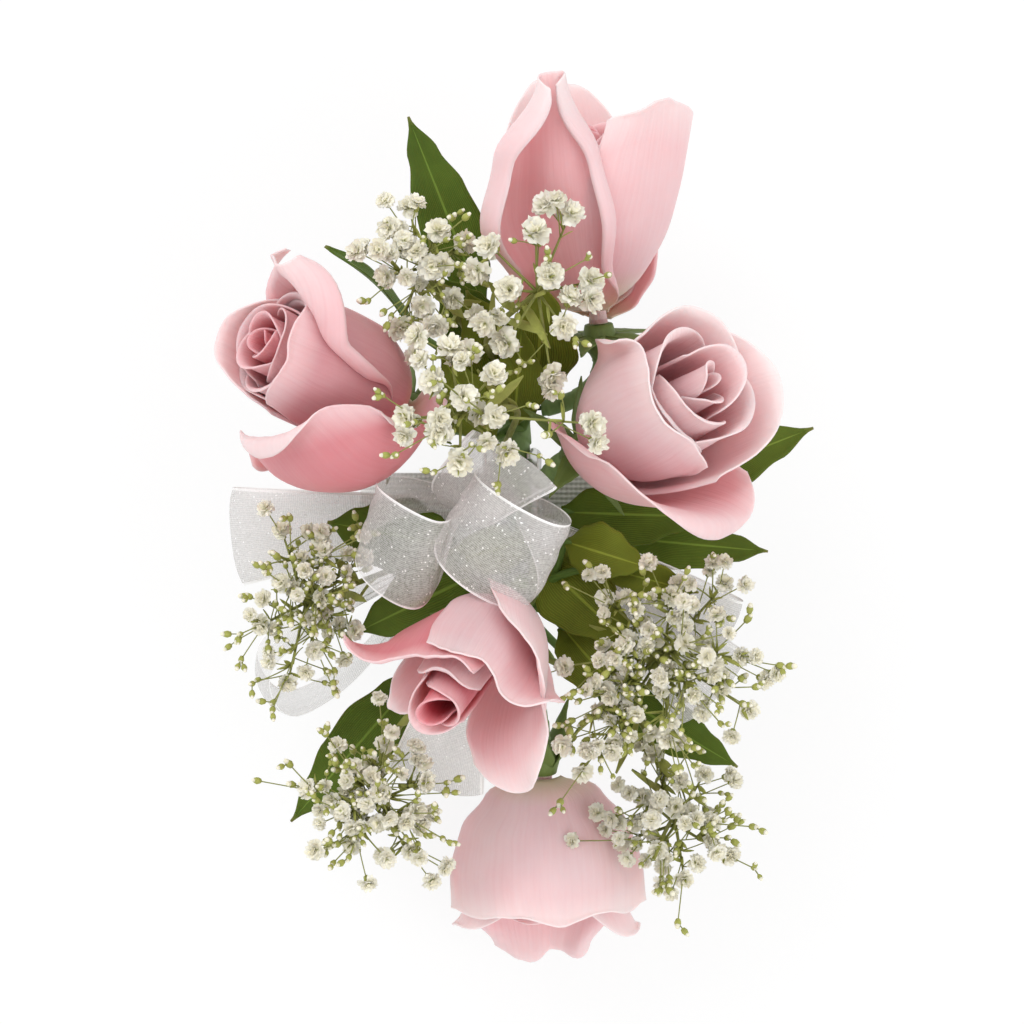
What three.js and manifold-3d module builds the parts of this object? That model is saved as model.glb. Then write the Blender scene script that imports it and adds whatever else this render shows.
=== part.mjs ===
// Wrist corsage: five wired roses, sprays of small white blossom, leaf sprigs and a sheer ribbon bow,
// all held to a taped stem spine that a metal clip fastens to an elastic wristlet.
// Millimetres. +Z points away from the wrist, +Y runs along the forearm, and the origin lies on the
// face of the strap that touches the back of the wrist.
import * as THREE from "three";
import { mergeVertices } from "three/addons/utils/BufferGeometryUtils.js";
import Module from "manifold-3d";

// Clearances
const SEAT_GAP = 0.3; // between pieces that seat on each other
const PETAL_GAP = 0.4; // between petals that press on each other
const FACET_FIT = 0.12; // how far facets may be merged from the cut shape

// Elastic wristlet: a flat oval loop
const STRAP_WIDTH = 16;
const STRAP_THICK = 1.2;
const STRAP_FLAT = 28; // straight run on the back and on the inside of the wrist
const STRAP_BEND = 16; // inner radius of the two round sides

// Metal clip with four prongs bent over the spine
const CLIP_LENGTH = 26;
const CLIP_WIDTH = 12;
const CLIP_THICK = 0.8;
const PRONG_WIDTH = 3.5;
const PRONG_OPENING = 80; // degrees left open between the prong tips, over the spine

// Spine of stems under spiral florist's tape
const SPINE_RADIUS = 4;
const SPINE_TOP = 30; // how far the spine runs each way along the forearm
const SPINE_TAIL = 37;
const TAPE_PITCH = 7;
const TAPE_STEP = 0.35;

// Roses
const STEM_RADIUS = 1.9;
const WIRE_RADIUS = 0.5;
const BORE_RADIUS = 0.95; // the hollow that the wire runs up
const BORE_TOP = 0.7; // how far up the hip it ends
const WIRE_BARE = 2; // bare wire between the taped stem and the spine, where the stem bends
const HIP_RADIUS = 3.6;
const HIP_HEIGHT = 7;
const SEPAL_LENGTH = 13;
const SEPAL_HALF_WIDTH = 2.6;
const SEPAL_THICK = 0.8;
const PETAL_THICK = 0.9;
const PETAL_ALONG = 6; // facets along a petal
const PETAL_ACROSS = 6; // and across it
const CURL_ACROSS = 10; // across one whose margins curl broadly
const BROAD_CURL = 0.3; // share of the half width from which a curl counts as broad
const BUD_RADIUS = 4;
const NECK_RADIUS = 2; // the bud's neck, which the guard petals' claws ring

// Sprays of small white blossom
const SPRAY_STEM_RADIUS = 0.7;
const SPRAY_TWIG_RADIUS = 0.45;
const SPRAY_NODE_RADIUS = 1.7; // the swollen node that the twigs fork from
const FLORET_RADIUS = 2.9;

// Leaf sprigs
const LEAF_THICK = 0.7;
const LEAF_STALK_RADIUS = 0.9;
const LEAF_FOLD = 0.22; // how far the blade folds up from its midrib, as a slope

// Ribbon bow
const RIBBON_WIDTH = 20;
const RIBBON_THICK = 0.5;
const RIBBON_BELLY = 0.3; // how far the under run of a loop sags, as a share of the upper run's rise
const RIBBON_PINCH = 0.12; // share of the width that is left where the ribbon is gathered
const GATHER_RADIUS = 2.6;
const GATHER_HEIGHT = 2.4;
const TIE_RADIUS = 0.5;
const TIE_DEPTH = 4; // how far the tie's legs go down into the spine
const TIE_TURN = 90; // degrees from +X to the plane of the tie

// Heights that stack up from the wrist
const CLIP_Z = STRAP_THICK + SEAT_GAP;
const SPINE_Z = CLIP_Z + CLIP_THICK + SEAT_GAP + SPINE_RADIUS;
const SPINE_TOP_Z = SPINE_Z + SPINE_RADIUS;

const GOLDEN_ANGLE = Math.PI * (3 - Math.sqrt(5));
const rad = THREE.MathUtils.degToRad;
const vec = (x, y, z) => new THREE.Vector3(x, y, z);

const wasm = await Module();
wasm.setup();

const MATERIALS = {
  petal: material(0xe9b3b8, 0.55, 0),
  heart: material(0xd98a98, 0.55, 0),
  stem: material(0x6f8a3a, 0.7, 0),
  wire: material(0x4d5a35, 0.45, 0.6),
  tape: material(0x7d9150, 0.8, 0),
  leaf: material(0x47661d, 0.5, 0),
  blossom: material(0xe9e8d8, 0.8, 0),
  ribbon: material(0xe8e6e8, 0.35, 0),
  elastic: material(0xf1efea, 0.85, 0),
  metal: material(0xc9c9c6, 0.3, 1),
};

function material(color, roughness, metalness) {
  return new THREE.MeshStandardMaterial({ color, roughness, metalness, side: THREE.DoubleSide });
}

// Solids

// A closed geometry as a solid that can be joined and cut.
function solidOf(geometry) {
  const bare = new THREE.BufferGeometry();
  bare.setAttribute("position", geometry.getAttribute("position").clone());
  if (geometry.index) bare.setIndex(geometry.index.clone());
  const merged = mergeVertices(bare, 1e-4);
  const vertProperties = merged.getAttribute("position").array;
  const triVerts = new Uint32Array(merged.index.array);
  return new wasm.Manifold(new wasm.Mesh({ numProp: 3, vertProperties, triVerts }));
}

function geometryOf(solid) {
  const mesh = solid.asOriginal().simplify(FACET_FIT).getMesh();
  const geometry = new THREE.BufferGeometry();
  geometry.setAttribute("position", new THREE.BufferAttribute(new Float32Array(mesh.vertProperties), 3));
  geometry.setIndex(new THREE.BufferAttribute(new Uint32Array(mesh.triVerts), 1));
  geometry.computeVertexNormals();
  return geometry;
}

function join(geometries) {
  return geometries.map(solidOf).reduce((whole, piece) => whole.add(piece));
}

// The largest body of a solid that a cut may have left in several.
function mainBody(solid) {
  return solid.decompose().reduce((best, body) => (body.volume() > best.volume() ? body : best));
}

// A curved sheet of even thickness. point(u, v) gives its middle surface, u from -1 to 1 across it and
// v from 0 to 1 along it.
function sheet(point, across, along, thickness) {
  const nudge = 1e-3;
  const positions = [];
  const place = (side, i, j) => (side * (along + 1) + j) * (across + 1) + i;
  for (const offset of [thickness / 2, -thickness / 2])
    for (let j = 0; j <= along; j++)
      for (let i = 0; i <= across; i++) {
        const u = -1 + (2 * i) / across;
        const v = j / along;
        const du = point(Math.min(u + nudge, 1), v).sub(point(Math.max(u - nudge, -1), v));
        const dv = point(u, Math.min(v + nudge, 1)).sub(point(u, Math.max(v - nudge, 0)));
        const normal = du.cross(dv).normalize();
        positions.push(...point(u, v).addScaledVector(normal, offset).toArray());
      }
  const faces = [];
  const quad = (a, b, c, d) => faces.push(a, b, c, a, c, d);
  for (let j = 0; j < along; j++)
    for (let i = 0; i < across; i++) {
      quad(place(0, i, j), place(0, i + 1, j), place(0, i + 1, j + 1), place(0, i, j + 1));
      quad(place(1, i, j), place(1, i, j + 1), place(1, i + 1, j + 1), place(1, i + 1, j));
    }
  const wall = (i, j, k, l) => quad(place(0, i, j), place(1, i, j), place(1, k, l), place(0, k, l));
  for (let i = 0; i < across; i++) {
    wall(i, 0, i + 1, 0);
    wall(i + 1, along, i, along);
  }
  for (let j = 0; j < along; j++) {
    wall(across, j, across, j + 1);
    wall(0, j + 1, 0, j);
  }
  const geometry = new THREE.BufferGeometry();
  geometry.setAttribute("position", new THREE.BufferAttribute(new Float32Array(positions), 3));
  geometry.setIndex(faces);
  return geometry;
}

// A round bar along a curve.
function bar(curve, radius, sides, steps) {
  const section = new THREE.Shape();
  for (let i = 0; i < sides; i++) {
    const angle = (2 * Math.PI * i) / sides;
    section.lineTo(radius * Math.cos(angle), radius * Math.sin(angle));
  }
  return new THREE.ExtrudeGeometry(section, { steps, extrudePath: curve, bevelEnabled: false });
}

// A body with one ring of points for each [distance along the route, radius], in order, closed at both
// ends. Rings that turn back along the route line a hollow.
function loft(route, stations, sides) {
  const steps = 80;
  const length = route.getLength();
  const frames = route.computeFrenetFrames(steps, false);
  const positions = [];
  for (const [distance, radius] of stations) {
    const share = distance / length;
    const k = Math.round(share * steps);
    for (let i = 0; i < sides; i++) {
      const angle = (2 * Math.PI * i) / sides;
      const point = route
        .getPointAt(share)
        .addScaledVector(frames.normals[k], radius * Math.cos(angle))
        .addScaledVector(frames.binormals[k], radius * Math.sin(angle));
      positions.push(...point.toArray());
    }
  }
  const faces = [];
  for (let j = 0; j < stations.length - 1; j++)
    for (let i = 0; i < sides; i++) {
      const k = (i + 1) % sides;
      const [a, b, c, d] = [j * sides + i, j * sides + k, (j + 1) * sides + k, (j + 1) * sides + i];
      faces.push(a, b, c, a, c, d);
    }
  const last = (stations.length - 1) * sides;
  for (let i = 1; i < sides - 1; i++) faces.push(0, i + 1, i, last, last + i, last + i + 1);
  const geometry = new THREE.BufferGeometry();
  geometry.setAttribute("position", new THREE.BufferAttribute(new Float32Array(positions), 3));
  geometry.setIndex(faces);
  return geometry;
}

// An outline in the XZ plane, extruded to a width that is centred on y.
function extrudeAlongY(shape, width, y, curveSegments = 12) {
  const geometry = new THREE.ExtrudeGeometry(shape, { depth: width, bevelEnabled: false, curveSegments });
  return geometry.rotateX(Math.PI / 2).translate(0, y + width / 2, 0);
}

function curveThrough(points) {
  return new THREE.CatmullRomCurve3(points, false, "centripetal");
}

function mesh(name, geometry, finish) {
  const made = new THREE.Mesh(geometry, finish);
  made.name = name;
  return made;
}

// Wristlet

function rectangle(x0, z0, x1, z1) {
  return new THREE.Shape([
    new THREE.Vector2(x0, z0),
    new THREE.Vector2(x1, z0),
    new THREE.Vector2(x1, z1),
    new THREE.Vector2(x0, z1),
  ]);
}

function wristlet() {
  const group = new THREE.Group();
  const half = STRAP_FLAT / 2;
  const foot = -2 * STRAP_BEND;
  const back = rectangle(-half, 0, half, STRAP_THICK);
  const front = rectangle(-half, foot - STRAP_THICK, half, foot);
  group.add(
    mesh("strap_back", extrudeAlongY(back, STRAP_WIDTH, 0), MATERIALS.elastic),
    mesh("strap_front", extrudeAlongY(front, STRAP_WIDTH, 0), MATERIALS.elastic),
  );
  for (const [name, side] of [["strap_side_left", -1], ["strap_side_right", 1]]) {
    const round = new THREE.Shape();
    const x = side * (half + SEAT_GAP);
    const outer = STRAP_BEND + STRAP_THICK;
    const clockwise = side > 0;
    round.moveTo(x, STRAP_THICK);
    round.absarc(x, -STRAP_BEND, outer, Math.PI / 2, -Math.PI / 2, clockwise);
    round.lineTo(x, foot);
    round.absarc(x, -STRAP_BEND, STRAP_BEND, -Math.PI / 2, Math.PI / 2, !clockwise);
    group.add(mesh(name, extrudeAlongY(round, STRAP_WIDTH, 0), MATERIALS.elastic));
  }
  return group;
}

// Clip and spine

function clip() {
  const bore = SPINE_RADIUS + SEAT_GAP;
  const outside = bore + CLIP_THICK;
  const half = CLIP_WIDTH / 2;
  const tip = rad(90 - PRONG_OPENING / 2);
  const plate = extrudeAlongY(rectangle(-half, CLIP_Z, half, CLIP_Z + CLIP_THICK), CLIP_LENGTH, 0);
  const collar = new THREE.Shape();
  collar.absarc(0, SPINE_Z, outside, tip, Math.PI - tip, true);
  collar.absarc(0, SPINE_Z, bore, Math.PI - tip, tip, false);
  const place = (CLIP_LENGTH - PRONG_WIDTH) / 2;
  const collars = [-place, place].map((y) => extrudeAlongY(collar, PRONG_WIDTH, y, 9));
  return mesh("clip", geometryOf(join([plate, ...collars])), MATERIALS.metal);
}

// The taped spine: each turn of the tape laps over the one before, so the radius climbs by a step in
// every pitch. The ends taper where the tape is squeezed shut.
function spine() {
  const sides = 12;
  const length = SPINE_TOP + SPINE_TAIL;
  const rings = Math.round((2 * length) / TAPE_PITCH);
  const positions = [];
  for (let j = 0; j <= rings; j++) {
    const y = -SPINE_TAIL + (length * j) / rings;
    const end = Math.min(j, rings - j) / 2;
    const squeeze = end < 1 ? 0.45 + 0.55 * Math.sqrt(end) : 1;
    for (let i = 0; i < sides; i++) {
      const angle = (2 * Math.PI * i) / sides;
      const turn = y / TAPE_PITCH - i / sides;
      const lap = turn - Math.floor(turn);
      const radius = (SPINE_RADIUS - TAPE_STEP * lap) * squeeze;
      positions.push(radius * Math.cos(angle), y, SPINE_Z + radius * Math.sin(angle));
    }
  }
  const faces = [];
  for (let j = 0; j < rings; j++)
    for (let i = 0; i < sides; i++) {
      const k = (i + 1) % sides;
      const [a, b, c, d] = [j * sides + i, j * sides + k, (j + 1) * sides + k, (j + 1) * sides + i];
      faces.push(a, c, b, a, d, c);
    }
  for (let i = 1; i < sides - 1; i++) {
    const last = rings * sides;
    faces.push(0, i, i + 1, last, last + i + 1, last + i);
  }
  const geometry = new THREE.BufferGeometry();
  geometry.setAttribute("position", new THREE.BufferAttribute(new Float32Array(positions), 3));
  geometry.setIndex(faces);
  const holes = tieFeet().map(([x, y]) => {
    const hole = new THREE.CylinderGeometry(TIE_RADIUS + SEAT_GAP, TIE_RADIUS + SEAT_GAP, 2 * TIE_DEPTH, 8);
    return solidOf(hole.rotateX(Math.PI / 2).translate(x, y, SPINE_TOP_Z));
  });
  const taped = holes.reduce((whole, hole) => whole.subtract(hole), solidOf(geometry));
  return mesh("spine", geometryOf(taped), MATERIALS.tape);
}

// Where the two legs of the bow's tie go into the spine.
function tieFeet() {
  const reach = GATHER_RADIUS + SEAT_GAP + TIE_RADIUS;
  const turn = rad(TIE_TURN);
  return [1, -1].map((side) => [side * reach * Math.cos(turn), side * reach * Math.sin(turn)]);
}

// Roses

// A value between evenly spaced controls, at share s from 0 to 1.
function blend(controls, s) {
  const at = Math.min(Math.max(s, 0), 1) * (controls.length - 1);
  const k = Math.min(Math.floor(at), controls.length - 2);
  const f = at - k;
  const eased = f * f * (3 - 2 * f);
  return controls[k] + (controls[k + 1] - controls[k]) * eased;
}

// A petal's middle surface in its rose's frame, whose z is the bloom's axis, u from -1 to 1 across it and
// v from 0 to 1 along it. lean lists the angles from the axis that the petal takes from its claw to its
// rim, where its lip turns out further. cup is the radius that it wraps to from side to side, as a share
// of its distance from the axis. On its low and its high side the outer share roll of the half width
// curls back by curl degrees, and towards a pinched tip the whole width does.
function petalSurface(p) {
  const steps = 40;
  const { smoothstep, lerp } = THREE.MathUtils;
  const leanAt = (s) => rad(blend(p.lean, s) + p.lip * smoothstep(s, 1 - p.lipShare, 1) ** 1.5);
  const meridian = [[p.foot, p.base]];
  for (let k = 0; k < steps; k++) {
    const lean = leanAt((k + 0.5) / steps);
    const [r, z] = meridian[k];
    const step = p.length / steps;
    meridian.push([r + step * Math.sin(lean), z + step * Math.cos(lean)]);
  }
  const azimuth = rad(p.azimuth);
  const out = vec(Math.cos(azimuth), Math.sin(azimuth), 0);
  const side = vec(-Math.sin(azimuth), Math.cos(azimuth), 0);
  return (u, v) => {
    const edge = u > 0 ? 1 : 0;
    const at = v * (1 - p.round * Math.abs(u) ** 2.2 - p.skew * u) * steps;
    const k = Math.min(Math.floor(at), steps - 1);
    const r = lerp(meridian[k][0], meridian[k + 1][0], at - k);
    const z = lerp(meridian[k][1], meridian[k + 1][1], at - k);
    const half = p.half[edge] * blend(p.outline, v);
    const roll = lerp(p.roll[edge], 1, p.pinch * smoothstep(v, 0.7, 1));
    const curl = rad(p.curl[edge]) * smoothstep(v, ...p.rollFrom) + 1e-4;
    const reach = Math.abs(u) * half;
    const flat = (1 - roll) * half;
    const wrap = p.cup * r;
    const turn = Math.min(reach, flat) / wrap;
    let across = wrap * Math.sin(turn);
    let inward = wrap * (1 - Math.cos(turn));
    if (reach > flat) {
      const rim = (roll * half) / curl;
      const back = turn - (reach - flat) / rim;
      across += rim * (Math.sin(turn) - Math.sin(back));
      inward += rim * (Math.cos(back) - Math.cos(turn));
    }
    return vec(0, 0, z).addScaledVector(out, r - inward).addScaledVector(side, Math.sign(u) * across);
  };
}

const PETAL = {
  foot: 2.9,
  base: HIP_HEIGHT + SEAT_GAP,
  round: 0.3,
  skew: 0,
  cup: 1,
  roll: [0.1, 0.1],
  curl: [35, 35],
  rollFrom: [0.1, 0.55],
  pinch: 0,
  outline: [0.2, 0.7, 0.97, 1, 0.9],
  lip: 40,
  lipShare: 0.08,
};

// Guard petals seat one above the other on the neck of the heart, the outermost lowest.
function guardPetals(bloom) {
  const count = bloom.petals.length;
  return bloom.petals.map((own, k) => ({
    ...PETAL,
    base: PETAL.base + PETAL_THICK / 2 + (count - 1 - k) * (PETAL_THICK + PETAL_GAP),
    length: bloom.length,
    ...own,
  }));
}

// The closed heart of a bloom: a bud on a neck, with petals wound round it by the golden angle, each
// one wider.
function heartPetals(bloom) {
  const count = 3;
  const base = PETAL.base + bloom.petals.length * (PETAL_THICK + PETAL_GAP) + 1;
  return Array.from({ length: count }, (_, k) => ({
    ...PETAL,
    azimuth: bloom.twist + THREE.MathUtils.radToDeg(GOLDEN_ANGLE) * k,
    foot: 1.6,
    base: base + 0.4 * (count - 1 - k),
    length: bloom.length * (0.7 + 0.05 * k),
    half: [9 + 3 * k, 9 + 3 * k],
    lip: 0,
    lean: [48 + 9 * k, 10 + 6 * k, -3 + k, -5 + 2 * k, 3 + 5 * k],
  }));
}

function heart(bloom) {
  const base = PETAL.base + bloom.petals.length * (PETAL_THICK + PETAL_GAP);
  const top = bloom.length * 0.66;
  const profile = [
    [0, PETAL.base],
    [NECK_RADIUS, PETAL.base],
    [NECK_RADIUS, base],
    [BUD_RADIUS, base + 0.3 * top],
    [BUD_RADIUS * 0.95, base + 0.7 * top],
    [0, base + top],
  ];
  const outline = profile.map(([r, z]) => new THREE.Vector2(r, z));
  const bud = new THREE.LatheGeometry(outline, 7).rotateX(Math.PI / 2);
  const petals = heartPetals(bloom).map((p) => sheet(petalSurface(p), 5, 3, PETAL_THICK));
  return join([bud, ...petals]);
}

// The taped stem of a rose with its hip and five sepals, hollow for the wire.
function roseStem(bloom, route, frame) {
  const hipAt = route.getLength() - HIP_HEIGHT;
  const run = stemStations(route);
  const hollow = [...run, hipAt + BORE_TOP * HIP_HEIGHT].map((at) => [at, BORE_RADIUS]);
  const outside = run.map((at) => [at, STEM_RADIUS]);
  outside.push([hipAt + 0.45 * HIP_HEIGHT, HIP_RADIUS], [hipAt + HIP_HEIGHT, 0.8 * HIP_RADIUS]);
  const stem = loft(route, [...hollow.reverse(), ...outside], 7);
  const sepals = Array.from({ length: 5 }, (_, k) => {
    const turn = rad(72 * k + bloom.twist);
    const out = vec(Math.cos(turn), Math.sin(turn), 0);
    const side = vec(-Math.sin(turn), Math.cos(turn), 0);
    const lean = rad(bloom.sepalAngle);
    const blade = (u, v) => {
      const half = SEPAL_HALF_WIDTH * blend([0.8, 1, 0.75, 0.4, 0.08], v);
      const reach = SEPAL_LENGTH * v;
      return vec(0, 0, 0.6 * HIP_HEIGHT - reach * Math.sin(lean))
        .addScaledVector(out, 0.7 * HIP_RADIUS + reach * Math.cos(lean))
        .addScaledVector(side, u * half);
    };
    return sheet(blade, 1, 3, SEPAL_THICK).applyMatrix4(frame);
  });
  return join([stem, ...sepals]);
}

// Distances along a rose's route at which its taped stem is laid, from its foot to the hip.
function stemStations(route) {
  const hipAt = route.getLength() - HIP_HEIGHT;
  return [0, 0.33, 0.67, 1].map((share) => WIRE_BARE + share * (hipAt - WIRE_BARE));
}

// A point off the spine's surface, y along it and turn degrees round it from +X.
function onSpine([y, turn], clearance) {
  const reach = SPINE_RADIUS + clearance;
  return vec(reach * Math.cos(rad(turn)), y, SPINE_Z + reach * Math.sin(rad(turn)));
}

// A rose's frame: z along the bloom's axis, x on the side that faces away from the wrist.
function roseFrame(bloom) {
  const axis = vec(...bloom.axis).normalize();
  const facing = vec(0, 0, 1).addScaledVector(axis, -axis.z).normalize();
  const side = axis.clone().cross(facing);
  return new THREE.Matrix4().makeBasis(facing, side, axis).setPosition(...bloom.hip);
}

// The wire's route: out of the spine, round to the hip, and up inside it.
function stemRoute(bloom) {
  const axis = vec(...bloom.axis).normalize();
  const hip = vec(...bloom.hip);
  const foot = onSpine(bloom.foot, 0);
  const away = foot.clone().sub(vec(0, foot.y, SPINE_Z)).normalize();
  const span = hip.distanceTo(foot);
  const stem = new THREE.CubicBezierCurve3(
    foot,
    foot.clone().addScaledVector(away, 0.35 * span),
    hip.clone().addScaledVector(axis, -0.4 * span),
    hip,
  );
  const inside = [0.5, 1].map((share) => hip.clone().addScaledVector(axis, share * HIP_HEIGHT));
  return curveThrough([...stem.getSpacedPoints(8), ...inside]);
}

function rose(bloom) {
  const group = new THREE.Group();
  const frame = roseFrame(bloom);
  const route = stemRoute(bloom);
  const wireTop = route.getLength() - (1 - BORE_TOP) * HIP_HEIGHT - SEAT_GAP;
  const wire = loft(route, [SEAT_GAP, ...stemStations(route), wireTop].map((at) => [at, WIRE_RADIUS]), 7);
  const stem = mainBody(roseStem(bloom, route, frame));
  group.add(
    mesh(`rose_${bloom.name}_wire`, wire, MATERIALS.wire),
    mesh(`rose_${bloom.name}_stem`, geometryOf(stem), MATERIALS.stem),
  );
  const head = new THREE.Group();
  frame.decompose(head.position, head.quaternion, head.scale);
  const core = mainBody(heart(bloom));
  head.add(mesh(`rose_${bloom.name}_heart`, geometryOf(core), MATERIALS.heart));
  // Where two petals would press together the outer one stands off by the petal gap.
  const grown = heartPetals(bloom).map((p) => grownPetal(p, 5, 3));
  let taken = grown.reduce((whole, piece) => whole.add(piece), core);
  guardPetals(bloom).forEach((petal, k) => {
    const across = Math.max(...petal.roll) < BROAD_CURL ? PETAL_ACROSS : CURL_ACROSS;
    const whole = solidOf(sheet(petalSurface(petal), across, PETAL_ALONG, PETAL_THICK));
    const made = mainBody(whole.subtract(taken));
    head.add(mesh(`rose_${bloom.name}_petal_${k + 1}`, geometryOf(made), MATERIALS.petal));
    taken = taken.add(made).add(grownPetal(petal, across, PETAL_ALONG));
  });
  group.add(head);
  return group;
}

function grownPetal(petal, across, along) {
  const half = petal.half.map((reach) => reach + PETAL_GAP);
  const wide = { ...petal, half, length: petal.length + PETAL_GAP };
  return solidOf(sheet(petalSurface(wide), across, along, PETAL_THICK + 2 * PETAL_GAP));
}

// Sprays of small white blossom: a stem that forks into twigs, each with a floret at its tip. The
// florets spread over a dome round the spray's centre by the golden angle.
function spray(s) {
  const root = onSpine(s.root, SEAT_GAP);
  const centre = vec(...s.centre);
  const bend = root.clone().lerp(centre, 0.5).add(vec(...s.bow));
  const hub = centre.clone().add(vec(0, 0, -s.reach[2]));
  const stem = curveThrough([root, bend, hub]);
  const node = new THREE.IcosahedronGeometry(SPRAY_NODE_RADIUS, 0).translate(...hub.toArray());
  const pieces = [bar(stem, SPRAY_STEM_RADIUS, 5, 5), node];
  for (let k = 0; k < s.florets; k++) {
    const angle = k * GOLDEN_ANGLE + rad(s.turn);
    const ring = Math.sqrt((k + 0.5) / s.florets);
    const [wide, long, drop] = s.reach;
    const off = vec(wide * ring * Math.cos(angle), long * ring * Math.sin(angle), -drop * ring * ring);
    const tip = centre.clone().add(off);
    const knee = hub.clone().lerp(tip, 0.5).add(vec(0, 0, 0.15 * s.reach[2]));
    const twig = new THREE.QuadraticBezierCurve3(hub, knee, tip);
    pieces.push(bar(twig, SPRAY_TWIG_RADIUS, 3, 2));
    const radius = FLORET_RADIUS * (0.85 + 0.15 * Math.cos(3 * k));
    pieces.push(new THREE.IcosahedronGeometry(radius, 0).translate(...tip.toArray()));
  }
  return mesh(`blossom_spray_${s.name}`, geometryOf(mainBody(join(pieces))), MATERIALS.blossom);
}

// Leaf sprigs: a stalk from the spine with pointed blades that fold along the midrib.
function leafBlade(leaf) {
  const from = vec(...leaf.from);
  const tip = vec(...leaf.tip);
  const along = tip.clone().sub(from);
  const up = vec(...(leaf.up ?? [0, 0, 1]));
  const side = along.clone().cross(up).normalize();
  const normal = side.clone().cross(along).normalize();
  return sheet(
    (u, v) => {
      const half = leaf.half * blend([0.18, 0.72, 1, 0.86, 0.5, 0.05], v);
      const arch = leaf.arch * Math.sin(Math.PI * v);
      const rise = arch + LEAF_FOLD * Math.abs(u) * half;
      const across = from.clone().addScaledVector(along, v).addScaledVector(side, u * half);
      return across.addScaledVector(normal, rise);
    },
    2,
    5,
    LEAF_THICK,
  );
}

function leafSprig(sprig) {
  const pieces = sprig.leaves.map(leafBlade);
  for (const leaf of sprig.leaves) {
    const from = vec(...leaf.from);
    const overlap = vec(...leaf.tip).sub(from).multiplyScalar(0.12).add(from);
    const stalk = curveThrough([onSpine(sprig.root, SEAT_GAP), vec(...leaf.knee), from, overlap]);
    pieces.push(bar(stalk, LEAF_STALK_RADIUS, 5, 4));
  }
  return mesh(`leaf_sprig_${sprig.name}`, geometryOf(mainBody(join(pieces))), MATERIALS.leaf);
}

// Ribbon bow: pairs of loops, each pair gathered into one knot of the stack that the tie holds.
function ribbonLoop(knot, loop) {
  const leave = rad(loop.leave);
  const away = vec(Math.cos(leave), Math.sin(leave), 0);
  const start = knot.clone().addScaledVector(away, 0.8 * GATHER_RADIUS);
  const reach = vec(...loop.tip).sub(start);
  const along = reach.clone().normalize();
  const width = vec(...loop.width).addScaledVector(along, -vec(...loop.width).dot(along)).normalize();
  const lift = width.clone().cross(along);
  const bend = vec(...(loop.bend ?? [0, 0, 0]));
  const belly = loop.belly ?? RIBBON_BELLY;
  return sheet(
    (u, v) => {
      const share = Math.sin(Math.PI * v);
      const bulge = loop.height * Math.sin(2 * Math.PI * v) * share;
      const rise = (v < 0.5 ? bulge : belly * bulge) + RIBBON_THICK * Math.cos(Math.PI * v);
      const spread = RIBBON_PINCH + (1 - RIBBON_PINCH) * share ** loop.neck;
      return start
        .clone()
        .addScaledVector(reach, share)
        .addScaledVector(bend, 4 * share * (1 - share))
        .addScaledVector(lift, rise)
        .addScaledVector(width, (u * spread * RIBBON_WIDTH) / 2);
    },
    1,
    14,
    RIBBON_THICK,
  );
}

function bow(pairs) {
  const group = new THREE.Group();
  const pitch = GATHER_HEIGHT + SEAT_GAP;
  const first = SPINE_TOP_Z + SEAT_GAP + GATHER_HEIGHT / 2;
  pairs.forEach((pair, k) => {
    const knot = vec(0, 0, first + k * pitch);
    const gather = new THREE.CylinderGeometry(GATHER_RADIUS, GATHER_RADIUS, GATHER_HEIGHT, 10)
      .rotateX(Math.PI / 2)
      .translate(...knot.toArray());
    const loops = pair.loops.map((loop) => ribbonLoop(knot, loop));
    const made = mainBody(join([gather, ...loops]));
    group.add(mesh(`bow_loops_${pair.name}`, geometryOf(made), MATERIALS.ribbon));
  });
  const crown = first + (pairs.length - 0.5) * pitch + TIE_RADIUS;
  const [near, far] = tieFeet();
  const foot = SPINE_TOP_Z - TIE_DEPTH + SEAT_GAP;
  const shoulder = crown - 0.2;
  const tie = curveThrough([
    vec(...near, foot),
    vec(...near, (foot + shoulder) / 2),
    vec(...near, shoulder),
    vec(near[0] * 0.6, near[1] * 0.6, crown + 1),
    vec(far[0] * 0.6, far[1] * 0.6, crown + 1),
    vec(...far, shoulder),
    vec(...far, (foot + shoulder) / 2),
    vec(...far, foot),
  ]);
  group.add(mesh("bow_tie", bar(tie, TIE_RADIUS, 5, 20), MATERIALS.wire));
  return group;
}

// The arrangement

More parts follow.
